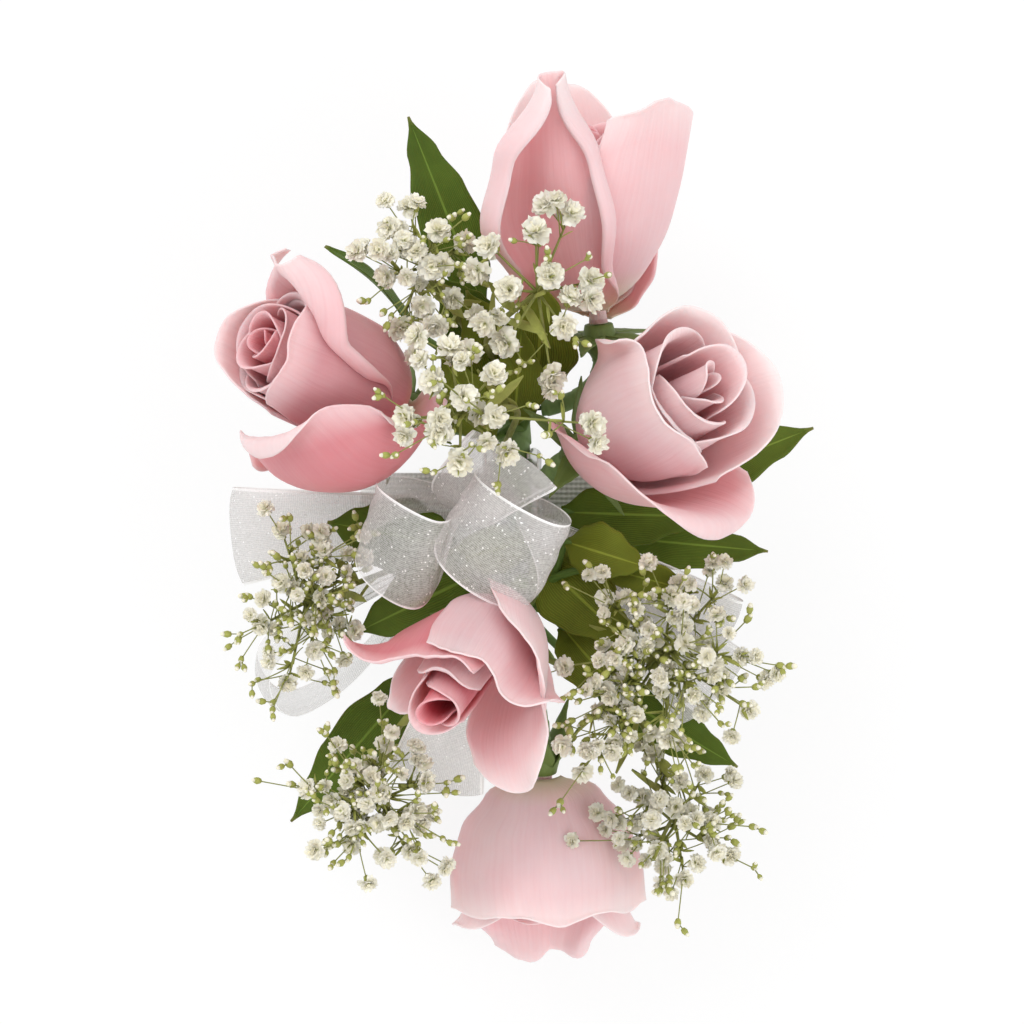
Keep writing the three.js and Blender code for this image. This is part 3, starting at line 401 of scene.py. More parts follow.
class Finish:
    """A material in the making: its principled shader, and one method that adds any node."""

    def __init__(self, name, **constants):
        self.material = bpy.data.materials.new(name)
        self.material.use_nodes = True
        self.tree = self.material.node_tree
        self.shader = self.tree.nodes["Principled BSDF"]
        for socket, value in constants.items():
            self.shader.inputs[socket.replace("_", " ").title().replace("Ior", "IOR")].default_value = value

    def node(self, kind, settings=None, inputs=None, out=0):
        made = self.tree.nodes.new(kind)
        for name, value in (settings or {}).items():
            if name == "stops":
                ramp = made.color_ramp
                while len(ramp.elements) < len(value):
                    ramp.elements.new(1)
                for element, (place, colour) in zip(ramp.elements, value):
                    element.position = place
                    element.color = (*colour, 1)
            else:
                setattr(made, name, value)
        for name, value in (inputs or {}).items():
            self.feed(made.inputs[name], value)
        return Value(self.tree, made.outputs[out])

    def feed(self, slot, value):
        if isinstance(value, Value):
            self.tree.links.new(value.socket, slot)
        elif hasattr(value, "__len__") and len(value) == 3 and slot.type == "RGBA":
            slot.default_value = (*value, 1)
        else:
            slot.default_value = value

    def set(self, **inputs):
        for name, value in inputs.items():
            self.feed(self.shader.inputs[name.replace("_", " ").title()], value)
        return self

    def mix(self, a, b, factor):
        """Colour a turning into colour b."""
        return self.node("ShaderNodeMix", {"data_type": "RGBA"}, {0: factor, 6: a, 7: b}, out=2)

    def attribute(self, name):
        return self.node("ShaderNodeAttribute", {"attribute_name": name}, out=2)

    def surface(self):
        """The two coordinates laid over a sheet: across and along."""
        both = self.node("ShaderNodeUVMap", {"uv_map": "surface"})
        split = {"Vector": both}
        return (self.node("ShaderNodeSeparateXYZ", inputs=split, out=0),
                self.node("ShaderNodeSeparateXYZ", inputs=split, out=1))

    def vector(self, x, y):
        return self.node("ShaderNodeCombineXYZ", inputs={0: x, 1: y})

    def place(self):
        return self.node("ShaderNodeTexCoord", out=3)

    def stretched(self, *scales):
        """Places on the object, drawn out axis by axis."""
        return self.node("ShaderNodeVectorMath", {"operation": "MULTIPLY"}, {0: self.place(), 1: scales})

    def wave(self, direction, vector, scale, **more):
        inputs = {name.replace("_", " ").title(): value for name, value in more.items()}
        inputs.update({"Vector": vector, "Scale": scale})
        return self.node("ShaderNodeTexWave", {"bands_direction": direction}, inputs, out=1)

    def speckle(self, vector, scale, detail=2.0, rough=0.5):
        return self.node("ShaderNodeTexNoise", inputs={
            "Vector": vector, "Scale": scale, "Detail": detail, "Roughness": rough})

    def bump(self, height, strength, distance):
        normal = self.node("ShaderNodeBump", inputs={
            "Strength": strength, "Distance": distance, "Height": height})
        return self.set(normal=normal)


# Curves and surfaces

def blend(controls, share):
    """A value between evenly spaced controls."""
    at = min(max(share, 0), 1) * (len(controls) - 1)
    k = min(int(at), len(controls) - 2)
    f = at - k
    return controls[k] + (controls[k + 1] - controls[k]) * f * f * (3 - 2 * f)


def smooth(edge0, edge1, x):
    t = min(max((x - edge0) / (edge1 - edge0), 0), 1)
    return t * t * (3 - 2 * t)


def curve_through(points, steps=12):
    """Points of a smooth curve through the given ones, with no overshoot at uneven spacing."""
    points = [Vector(p) for p in points]
    ends = [points[0] * 2 - points[1], *points, points[-1] * 2 - points[-2]]
    made = []
    for p0, p1, p2, p3 in zip(ends, ends[1:], ends[2:], ends[3:]):
        t1 = max((p1 - p0).length, 1e-6) ** 0.5
        t2 = t1 + max((p2 - p1).length, 1e-6) ** 0.5
        t3 = t2 + max((p3 - p2).length, 1e-6) ** 0.5
        for k in range(steps):
            t = t1 + (t2 - t1) * k / steps
            a1 = p0 * ((t1 - t) / t1) + p1 * (t / t1)
            a2 = p1 * ((t2 - t) / (t2 - t1)) + p2 * ((t - t1) / (t2 - t1))
            a3 = p2 * ((t3 - t) / (t3 - t2)) + p3 * ((t - t2) / (t3 - t2))
            b1 = a1 * ((t2 - t) / t2) + a2 * (t / t2)
            b2 = a2 * ((t3 - t) / (t3 - t1)) + a3 * ((t - t1) / (t3 - t1))
            made.append(b1 * ((t2 - t) / (t2 - t1)) + b2 * ((t - t1) / (t2 - t1)))
    return made + [points[-1]]


def along_line(points, distances):
    """Points at the given distances along a polyline."""
    lengths = [0]
    for a, b in zip(points, points[1:]):
        lengths.append(lengths[-1] + (b - a).length)
    found = []
    k = 0
    for distance in distances:
        while k < len(points) - 2 and lengths[k + 1] < distance:
            k += 1
        span = max(lengths[k + 1] - lengths[k], 1e-9)
        found.append(points[k].lerp(points[k + 1], (distance - lengths[k]) / span))
    return found


def arc(a, b, c, count):
    """Points of the curve from a to c that b draws towards itself."""
    return [a * (1 - t) ** 2 + b * 2 * t * (1 - t) + c * t * t for t in spread(count, 0, 1)]


def taper(points, start, loss):
    """Radii along points, thinner by loss at their end."""
    return [start - loss * k / len(points) for k in range(len(points))]


def scaled(colour, factor, lift=0):
    return tuple(min(1, c * factor + lift) for c in colour)


def line_length(points):
    return sum((b - a).length for a, b in zip(points, points[1:]))


def on_spine(place, clearance):
    along, turn = place
    reach = SPINE_RADIUS + clearance
    angle = math.radians(turn)
    return Vector((reach * math.cos(angle), along, SPINE_Z + reach * math.sin(angle)))


class Shell:
    """A mesh in the making, in millimetres, with surface coordinates, a side flag and a tint."""

    def __init__(self):
        self.points = []
        self.faces = []
        self.slots = []
        self.surface = []
        self.inside = []
        self.tint = []

    def point(self, place, u=0.0, v=0.0, inside=0.0, tint=0.0):
        self.points.append(place)
        self.surface.append((u, v))
        self.inside.append(inside)
        self.tint.append(tint)
        return len(self.points) - 1

    def face(self, corners, slot):
        self.faces.append(corners)
        self.slots.append(slot)

    def grid(self, surface, us, vs, slot=0, tint=0.0):
        """A patch of surface(u, v)."""
        rows = [[self.point(surface(u, v), u, v, 0.0, tint) for u in us] for v in vs]
        for low, high in zip(rows, rows[1:]):
            for i in range(len(us) - 1):
                self.face((low[i], low[i + 1], high[i + 1], high[i]), slot)

    def bridge(self, low, high, slot):
        """The band of faces between two closed rings of points."""
        for i in range(len(low)):
            j = (i + 1) % len(low)
            self.face((low[i], low[j], high[j], high[i]), slot)

    def leaf(self, surface, us, vs, thickness, slot=0, tint=0.0, inner=None):
        """A thin closed sheet over surface(u, v): an outer face, an inner face and the rim between."""
        centre = [[surface(u, v) for u in us] for v in vs]
        rows, cols = len(vs), len(us)
        layers = []
        for side in (1, -1):
            shade = tint if side > 0 or inner is None else inner
            layer = []
            for j in range(rows):
                row = []
                for i in range(cols):
                    du = centre[j][min(i + 1, cols - 1)] - centre[j][max(i - 1, 0)]
                    dv = centre[min(j + 1, rows - 1)][i] - centre[max(j - 1, 0)][i]
                    normal = du.cross(dv)
                    if normal.length > 1e-12:
                        normal.normalize()
                    edge = min(i, cols - 1 - i, rows - 1 - j)
                    half = thickness / 2 * (0.35 if edge == 0 else 1)
                    place = centre[j][i] + normal * half * side
                    row.append(self.point(place, us[i], vs[j], float(side < 0), shade))
                layer.append(row)
            layers.append(layer)
        front, back = layers
        for j in range(rows - 1):
            for i in range(cols - 1):
                self.face((front[j][i], front[j][i + 1], front[j + 1][i + 1], front[j + 1][i]), slot)
                self.face((back[j][i], back[j + 1][i], back[j + 1][i + 1], back[j][i + 1]), slot)
        rim = [(0, i) for i in range(cols)] + [(j, cols - 1) for j in range(1, rows)]
        rim += [(rows - 1, i) for i in range(cols - 2, -1, -1)] + [(j, 0) for j in range(rows - 2, 0, -1)]
        for (j, i), (n, m) in zip(rim, rim[1:] + rim[:1]):
            self.face((front[j][i], back[j][i], back[n][m], front[n][m]), slot)

    def tube(self, points, radii, sides, slot=0, tint=0.0):
        """A round bar along points. Its surface coordinates are the turn and the distance in mm."""
        points = [Vector(p) for p in points]
        if not hasattr(radii, "__len__"):
            radii = [radii] * len(points)
        tangent = (points[1] - points[0]).normalized()
        normal = tangent.orthogonal().normalized()
        rings = []
        distance = 0
        for k, place in enumerate(points):
            ahead = (points[min(k + 1, len(points) - 1)] - points[max(k - 1, 0)]).normalized()
            normal = (normal - ahead * normal.dot(ahead)).normalized()
            side = ahead.cross(normal)
            if k:
                distance += (place - points[k - 1]).length
            ring = []
            for i in range(sides):
                angle = 2 * math.pi * i / sides
                out = normal * math.cos(angle) + side * math.sin(angle)
                ring.append(self.point(place + out * radii[k], i / sides, distance, 0.0, tint))
            rings.append(ring)
        for low, high in zip(rings, rings[1:]):
            self.bridge(low, high, slot)
        self.face(tuple(rings[0][::-1]), slot)
        self.face(tuple(rings[-1]), slot)

    def ball(self, centre, axis, length, radius, slot=0, tint=0.0, sides=7, rings=4):
        """A small closed egg along axis, such as a bud."""
        axis = Vector(axis).normalized()
        side = axis.orthogonal().normalized()
        other = axis.cross(side)
        rows = []
        for k in range(1, rings):
            angle = math.pi * k / rings
            middle = Vector(centre) - axis * (length / 2 * math.cos(angle))
            wide = radius * math.sin(angle)
            row = []
            for i in range(sides):
                turn = 2 * math.pi * i / sides
                out = side * math.cos(turn) + other * math.sin(turn)
                row.append(self.point(middle + out * wide, i / sides, k / rings, 0.0, tint))
            rows.append(row)
        first = self.point(Vector(centre) - axis * length / 2, 0, 0, 0.0, tint)
        last = self.point(Vector(centre) + axis * length / 2, 0, 1, 0.0, tint)
        for i in range(sides):
            j = (i + 1) % sides
            self.face((first, rows[0][j], rows[0][i]), slot)
            self.face((last, rows[-1][i], rows[-1][j]), slot)
            for low, high in zip(rows, rows[1:]):
                self.face((low[i], low[j], high[j], high[i]), slot)

    def build(self, name, materials, transform=None):
        """The finished object, in metres."""
        move = transform or Matrix.Identity(4)
        mesh = bpy.data.meshes.new(name)
        mesh.from_pydata([tuple((move @ Vector(p)) * 0.001) for p in self.points], [], self.faces)
        for material in materials:
            mesh.materials.append(material)
        mesh.polygons.foreach_set("material_index", self.slots)
        mesh.polygons.foreach_set("use_smooth", [True] * len(self.faces))
        layer = mesh.uv_layers.new(name="surface")
        corners = [0] * len(mesh.loops)
        mesh.loops.foreach_get("vertex_index", corners)
        layer.data.foreach_set("uv", [c for k in corners for c in self.surface[k]])
        for key, values in (("inside", self.inside), ("tint", self.tint)):
            mesh.attributes.new(key, "FLOAT", "POINT").data.foreach_set("value", values)
        mesh.update()
        made = bpy.data.objects.new(name, mesh)
        bpy.context.collection.objects.link(made)
        return made


def stand_for(piece, body, slot, *nodes):
    """The piece moves with a body and takes the place of CAD nodes."""
    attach(piece, body)
    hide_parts(*nodes)


def spread(count, low=-1.0, high=1.0):
    return [low + (high - low) * k / count for k in range(count + 1)]


def settings(name):
    return getattr(bpy.context.scene, "corsage_" + name)


# Roses

# What a petal has where its rose says nothing else.
PETAL = dict(
    foot=2.9, base=HIP_HEIGHT + SEAT_GAP, round=0.3, skew=0.0, cup=1.0, roll=(0.1, 0.1), curl=(35, 35),
    pinch=0.0, roll_from=(0.1, 0.55), outline=(0.2, 0.7, 0.97, 1, 0.9), lip=55, lip_share=0.08, spiral=0.0,
    wave=0.7, waves=2.0, phase=0.0, seed=0, tint=0.12)


def petal_surface(p):
    """A petal's middle surface in its rose's frame, u from -1 to 1 across it and v from 0 to 1 along it.
    Its margins curl back, and its lip does over the last share of its length."""
    steps = 60
    step = p["length"] / steps

    def lean_at(share):
        return math.radians(blend(p["lean"], share) + p["lip"] * smooth(1 - p["lip_share"], 1, share) ** 1.5)

    meridian = [(p["foot"], p["base"])]
    for k in range(steps):
        lean = lean_at((k + 0.5) / steps)
        r, z = meridian[k]
        meridian.append((r + step * math.sin(lean), z + step * math.cos(lean)))
    azimuth = math.radians(p["azimuth"])
    out = Vector((math.cos(azimuth), math.sin(azimuth), 0))
    side = Vector((-math.sin(azimuth), math.cos(azimuth), 0))

    def surface(u, v):
        high = u > 0
        share = v * (1 - p["round"] * abs(u) ** 2.2 - p["skew"] * u)
        at = share * steps
        k = min(int(at), steps - 1)
        r = meridian[k][0] + (meridian[k + 1][0] - meridian[k][0]) * (at - k)
        z = meridian[k][1] + (meridian[k + 1][1] - meridian[k][1]) * (at - k)
        lean = lean_at(share)
        half = p["half"][high] * blend(p["outline"], v)
        roll = p["roll"][high]
        roll += (1 - roll) * p["pinch"] * smooth(0.7, 1, v)
        curl = math.radians(p["curl"][high]) * smooth(*p["roll_from"], v) + 1e-4
        reach = abs(u) * half
        flat = (1 - roll) * half
        wrap = p["cup"] * r
        turn = min(reach, flat) / wrap
        across = wrap * math.sin(turn)
        inward = wrap * (1 - math.cos(turn))
        if reach > flat:
            rim = roll * half / curl
            back = turn - (reach - flat) / rim
            across += rim * (math.sin(turn) - math.sin(back))
            inward += rim * (math.cos(back) - math.cos(turn))
        across = math.copysign(across, u)
        inward -= p["spiral"] * u * v
        # Soft undulation, most at the rim.
        rough = noise.noise(Vector((u * 1.7 + p["seed"] * 3.1, v * 2.1, p["seed"] * 1.7)))
        fine = noise.noise(Vector((u * 6.3 + p["seed"], v * 4.7, p["seed"] * 0.9)))
        swell = math.sin(u * math.pi * p["waves"] + p["phase"]) * v ** 3
        ripple = p["wave"] * (swell + 0.9 * rough * v + 0.55 * fine * v ** 3)
        place = out * (r - inward + ripple * math.cos(lean)) + side * across
        return place + Vector((0, 0, z - ripple * math.sin(lean)))

    return surface


def petal_grid(counts):
    """Shares across a petal and along it, these closer together towards its rim."""
    across, along = counts
    return spread(across), [1 - (1 - k / along) ** 1.5 for k in range(along + 1)]


def rose_frame(rose):
    axis = Vector(rose["axis"]).normalized()
    facing = (Vector((0, 0, 1)) - axis * axis.z).normalized()
    side = axis.cross(facing)
    turn = Matrix((facing, side, axis)).transposed().to_4x4()
    return Matrix.Translation(Vector(rose["hip"])) @ turn


def stem_route(rose):
    """The wire's route from the spine to the top of the hip."""
    axis = Vector(rose["axis"]).normalized()
    hip = Vector(rose["hip"])
    foot = on_spine(rose["foot"], 0)
    away = (foot - Vector((0, foot.y, SPINE_Z))).normalized()
    span = (hip - foot).length
    a, b = foot + away * 0.35 * span, hip - axis * 0.4 * span
    bend = [foot * (1 - t) ** 3 + a * 3 * t * (1 - t) ** 2 + b * 3 * t * t * (1 - t) + hip * t ** 3
            for t in spread(24, 0, 1)]
    return bend + [hip + axis * HIP_HEIGHT * t for t in (0.25, 0.5, 0.75, 1)]


def heart_petals(rose):
    """The petals wound round the bud, from the innermost out, by the golden angle."""
    made = []
    heart = rose["heart"]
    wound = []
    for k in range(heart["count"]):
        share = k / (heart["count"] - 1)
        radius = 1.3 + (heart["radius"] - 1.3) * share ** 0.9
        tall = heart["tall"] * (0.93 + 0.07 * math.sin(math.pi * share))
        wound.append((rose["twist"] + math.degrees(GOLDEN_ANGLE) * k, radius, 2.6 - 1.2 * share, tall))
    wound += heart.get("own", [])
    for k, (azimuth, radius, wrap, tall) in enumerate(wound):
        share = k / (len(wound) - 1)
        # Heart petals are tinted deeper the further in they sit: partly the heart's own colour, partly
        # painted shade in its hollow.
        made.append({
            **PETAL, "azimuth": azimuth, "foot": 0.7 + 0.9 * share, "base": HIP_HEIGHT + 6.5 - 1.5 * share,
            "length": tall, "half": (radius * wrap,) * 2, "lean": heart_lean(radius, tall, share),
            "round": 0.16, "outline": (0.3, 0.8, 1, 1, 0.95), "roll": (0.06, 0.12), "curl": (20, 60),
            "lip": 35 + 45 * share, "lip_share": 0.06 + 0.02 * share, "spiral": 0.45,
            "wave": 0.12 + 0.25 * share, "waves": 1.5, "phase": 2.4 * k, "seed": k + rose["twist"],
            "tint": rose.get("blush_and_shade", 1) * (1 - 0.7 * share)})
    for own in rose.get("extra", []):
        made.append({**PETAL, "length": rose["length"], **own})
    return made


def heart_lean(radius, tall, share):
    """Leans that carry a petal from the bud's foot out to radius and then up."""
    start = math.degrees(math.asin(min(0.97, radius / (0.27 * tall))))
    return (min(start, 80), 0.42 * start, 1, -4 + 3 * share, 1 + 5 * share)


def petal_finish():
    """Rose petal: pale, blushing towards the claw, with fine veins. Its inner face blushes deeper with
    painted bounced light, its deep throat is partly painted shade and its pale rim partly a painted
    highlight.
    """
    tones = settings("rose")
    made = Finish("rose_petal", roughness=0.5, sheen_weight=0.06,
                  subsurface_weight=0.6, subsurface_scale=0.002)
    made.shader.inputs["Subsurface Radius"].default_value = (1.0, 0.62, 0.58)
    across, along = made.surface()
    inside, tint = made.attribute("inside"), made.attribute("tint")
    veins = made.speckle(made.vector(across * 26, along * 1.6), 1.0, 3.0)
    cloud = made.speckle(made.place(), 90.0, 3.0)
    claw = 1 - along.above(0.02, 0.22)
    # Pink deepens towards the claw. The extra depth on the inner face is painted light bounced between the
    # petals inside the bloom. The tint adds each petal's depth of pink, which also carries painted shade and
    # painted light.
    base = tint * 0.75 + (1 - along) * (0.25 + 0.35 * inside)
    blush_and_shade = (base + (veins - 0.5) * 0.34 + (cloud - 0.5) * 0.4 - 0.08).clamp()
    colour = made.mix(tones.pale, tones.blush, blush_and_shade)
    # Deep rose low on strongly tinted petals. In the heart it is partly the rose's own deeper colour and
    # partly painted shade in the hollow. On guard petals tinted for shade it is painted shade.
    throat = tint.above(0.4, 0.5) * (1 - (along - 0.16 * tint).above(0.7, 0.16))
    colour = made.mix(colour, tones.deep, throat * 0.9)
    # Paler towards the rim: partly the petal's own paler, drier margin and partly a painted highlight along
    # the rolled rims.
    rim = (along + (cloud - 0.5) * 0.12).above(0.82, 0.18)
    colour = made.mix(colour, tones.rim, rim * (0.6 - 0.6 * tint))
    colour = made.mix(colour, tones.claw, claw * 0.6)
    made.set(base_color=colour, roughness=0.42 + cloud * 0.2)
    return made.bump(veins * 0.6 + cloud * 0.4, 0.45, 0.0005).material


def green_finish(name, colour, grain=140.0):
    """Stem, sepal or taped stem: mottled green with a fine lengthwise grain."""
    made = Finish(name, roughness=0.6)
    across, along = made.surface()
    fibre = made.speckle(made.vector(across * 24, along * 0.35), 1.0, 3.0)
    mottle = made.speckle(made.place(), grain, 3.0)
    shade = (fibre * 0.55 + mottle * 0.6 - 0.08).clamp()
    tones = made.mix(scaled(colour, 0.55), scaled(colour, 1.5, 0.015), shade)
    made.set(base_color=tones, roughness=0.5 + mottle * 0.25)
    return made.bump(fibre, 0.4, 0.0003).material


def tape_finish(name, colour):
    """Stretched florist's tape: crinkled and waxy, mottled lighter and darker."""
    made = Finish(name, roughness=0.55)
    crinkle = made.speckle(made.stretched(900, 260, 900), 1.0, 4.0)
    mottle = made.speckle(made.place(), 260.0, 3.0)
    shade = (crinkle * 0.7 + mottle * 0.5 - 0.1).clamp()
    tones = made.mix(scaled(colour, 0.6), scaled(colour, 1.45, 0.02), shade)
    made.set(base_color=tones, roughness=0.45 + mottle * 0.3)
    return made.bump(crinkle, 0.5, 0.0004).material


def rose_stem(rose):
    """The taped stem with its laps, the hip and five sepals."""
    shell = Shell()
    route = stem_route(rose)
    length = line_length(route)
    hip_at = length - HIP_HEIGHT
    distances = spread(int((hip_at - WIRE_BARE) / 0.4), WIRE_BARE, hip_at)
    radii = [STEM_RADIUS - 0.22 * ((d / STEM_LAP) % 1) for d in distances]
    shell.tube(along_line(route, distances), radii, 14, 0)
    marks = [hip_at + share * HIP_HEIGHT for share, _ in HIP_PROFILE]
    shell.tube(along_line(route, marks), [r for _, r in HIP_PROFILE], 16, 1)
    frame_of = rose_frame(rose)
    for k in range(SEPAL_COUNT):
        turn = math.radians(360 // SEPAL_COUNT * k + rose["twist"])
        out = Vector((math.cos(turn), math.sin(turn), 0))
        side = Vector((-math.sin(turn), math.cos(turn), 0))
        lean = math.radians(rose["sepal"])

        def blade(u, v, out=out, side=side, lean=lean, k=k):
            half = SEPAL_HALF * blend((0.75, 1, 0.8, 0.5, 0.25, 0.04), v)
            reach = SEPAL_LENGTH * v
            bow = 0.5 * math.sin(3 * v + k)
            fold = 0.35 * abs(u) * half
            across = out * (0.78 * HIP_RADIUS + reach * math.cos(lean)) + side * (u * half + bow * v)
            return frame_of @ (across + Vector((0, 0, 0.62 * HIP_HEIGHT - reach * math.sin(lean) + fold)))

        shell.leaf(blade, spread(6), spread(14, 0, 1), SEPAL_THICK, 1)
    return shell


class CORSAGE_OT_roses(bpy.types.Operator):
    """Make the five roses: hearts, guard petals, stems and wires"""
    bl_idname = "corsage.roses"
    bl_label = "Roses"

    def execute(self, context):
        greens = settings("green")
        thick = settings("rose").petal_thickness * 1000
        petal = petal_finish()
        stem = green_finish("rose_calyx", greens.stem)
        tape = tape_finish("rose_stem_tape", greens.tape)
        wire = wire_finish()
        for name, rose in ROSES.items():
            body = "rose_" + name
            frame_of = rose_frame(rose)
            heart = Shell()
            heart.tube([(0, 0, HIP_HEIGHT + SEAT_GAP), (0, 0, HIP_HEIGHT + 7)], [2.0, 1.2], 12, 0, tint=0.2)
            for own in heart_petals(rose):
                heart.leaf(petal_surface(own), *petal_grid(HEART_GRID), thick, 0, own["tint"])
            stand_for(heart.build(body + "_bloom_heart", [petal], frame_of), body, "heart", body + "_heart")
            count = len(rose["petals"])
            for k, own in enumerate(rose["petals"]):
                base = PETAL["base"] + 0.45 + (count - 1 - k) * GUARD_STEP
                full = {**PETAL, "base": base, "length": rose["length"], "seed": 7 * k + rose["twist"],
                        "phase": 1.7 * k, **own}
                shell = Shell()
                shell.leaf(petal_surface(full), *petal_grid(GUARD_GRID), thick, 0,
                           full["tint"], full.get("inner"))
                guard = shell.build(f"{body}_guard_petal_{k + 1}", [petal], frame_of)
                stand_for(guard, body, "petal", f"{body}_petal_{k + 1}")
            stand_for(rose_stem(rose).build(body + "_taped_stem", [tape, stem]), body, "stem", body + "_stem")
            core = Shell()
            route = stem_route(rose)
            top = line_length(route) - 0.3 * HIP_HEIGHT - SEAT_GAP
            core.tube(along_line(route, spread(30, SEAT_GAP, top)), WIRE_RADIUS, 10)
            stand_for(core.build(body + "_core_wire", [wire]), body, "wire", body + "_wire")
        return {"FINISHED"}


def wire_finish():
    """Green lacquered florist's wire, worn in places."""
    made = Finish("lacquered_wire", metallic=0.3)
    worn = made.speckle(made.place(), 700.0, 3.0)
    colour = made.mix(settings("strap").wire, (0.3, 0.31, 0.28), worn.above(0.62, 0.1) * 0.6)
    return made.set(base_color=colour, roughness=0.35 + worn * 0.3).material


# Small white blossom

def floret(shell, centre, axis, radius, rng):
    """A double floret: rings of small notched petals, more upright towards the middle, on a green cup."""
    axis = Vector(axis).normalized()
    first = axis.orthogonal().normalized()
    second = axis.cross(first)
    shell.ball(centre - axis * radius * 0.55, axis, radius * 0.9, radius * 0.34, 1, rng.random(), 6, 3)
    for ring, (number, lift, size) in enumerate(FLORET_RINGS):
        start = rng.uniform(0, 6.28)
        for k in range(number):
            turn = start + 2 * math.pi * (k + rng.uniform(-0.3, 0.3)) / number
            rise = math.radians(lift + rng.uniform(-14, 14))
            out = first * math.cos(turn) + second * math.sin(turn)
            side = axis.cross(out)
            long = radius * size * rng.uniform(0.85, 1.1)
            wide = radius * 0.42 * rng.uniform(0.85, 1.2)
            shade = 0.5 * rng.random() + 0.1 * ring
            cup = rng.uniform(-0.2, 0.35)
            notch = rng.uniform(0.05, 0.3)
            sway = rng.uniform(-0.3, 0.3)

            def petal(u, v):
                half = wide * blend((0.25, 0.75, 1, 0.85), v)
                reach = long * v * (1 - 0.16 * u * u * v - notch * (1 - abs(u)) ** 2 * v * v)
                tilt = rise + cup * v
                ruffle = 0.12 * long * math.sin(5 * u + 9 * sway) * v * v
                return (centre + out * reach * math.cos(tilt) + side * (u * half + sway * half * v)
                        + axis * (reach * math.sin(tilt) + u * u * half * 0.25 + ruffle))

            shell.grid(petal, (-1, -0.5, 0, 0.5, 1), (0, 0.4, 0.75, 1), 0, shade)


def blossom_finish():
    """Petals of the small blossom: soft white, creamier in places and green in the throat."""
    made = Finish("blossom_white", roughness=0.65, subsurface_weight=0.4, subsurface_scale=0.001)
    made.shader.inputs["Subsurface Radius"].default_value = (1.0, 0.95, 0.8)
    along = made.surface()[1]
    tint = made.attribute("tint")
    fine = made.speckle(made.place(), 1500.0, 2.0)
    white = settings("green").floret
    colour = made.mix((0.55, 0.6, 0.2), white, along.above(0.05, 0.4))
    colour = made.mix(colour, (0.82, 0.77, 0.55), ((tint + fine - 0.7) * 0.9).clamp())
    return made.set(base_color=colour, roughness=0.55 + fine * 0.2).material


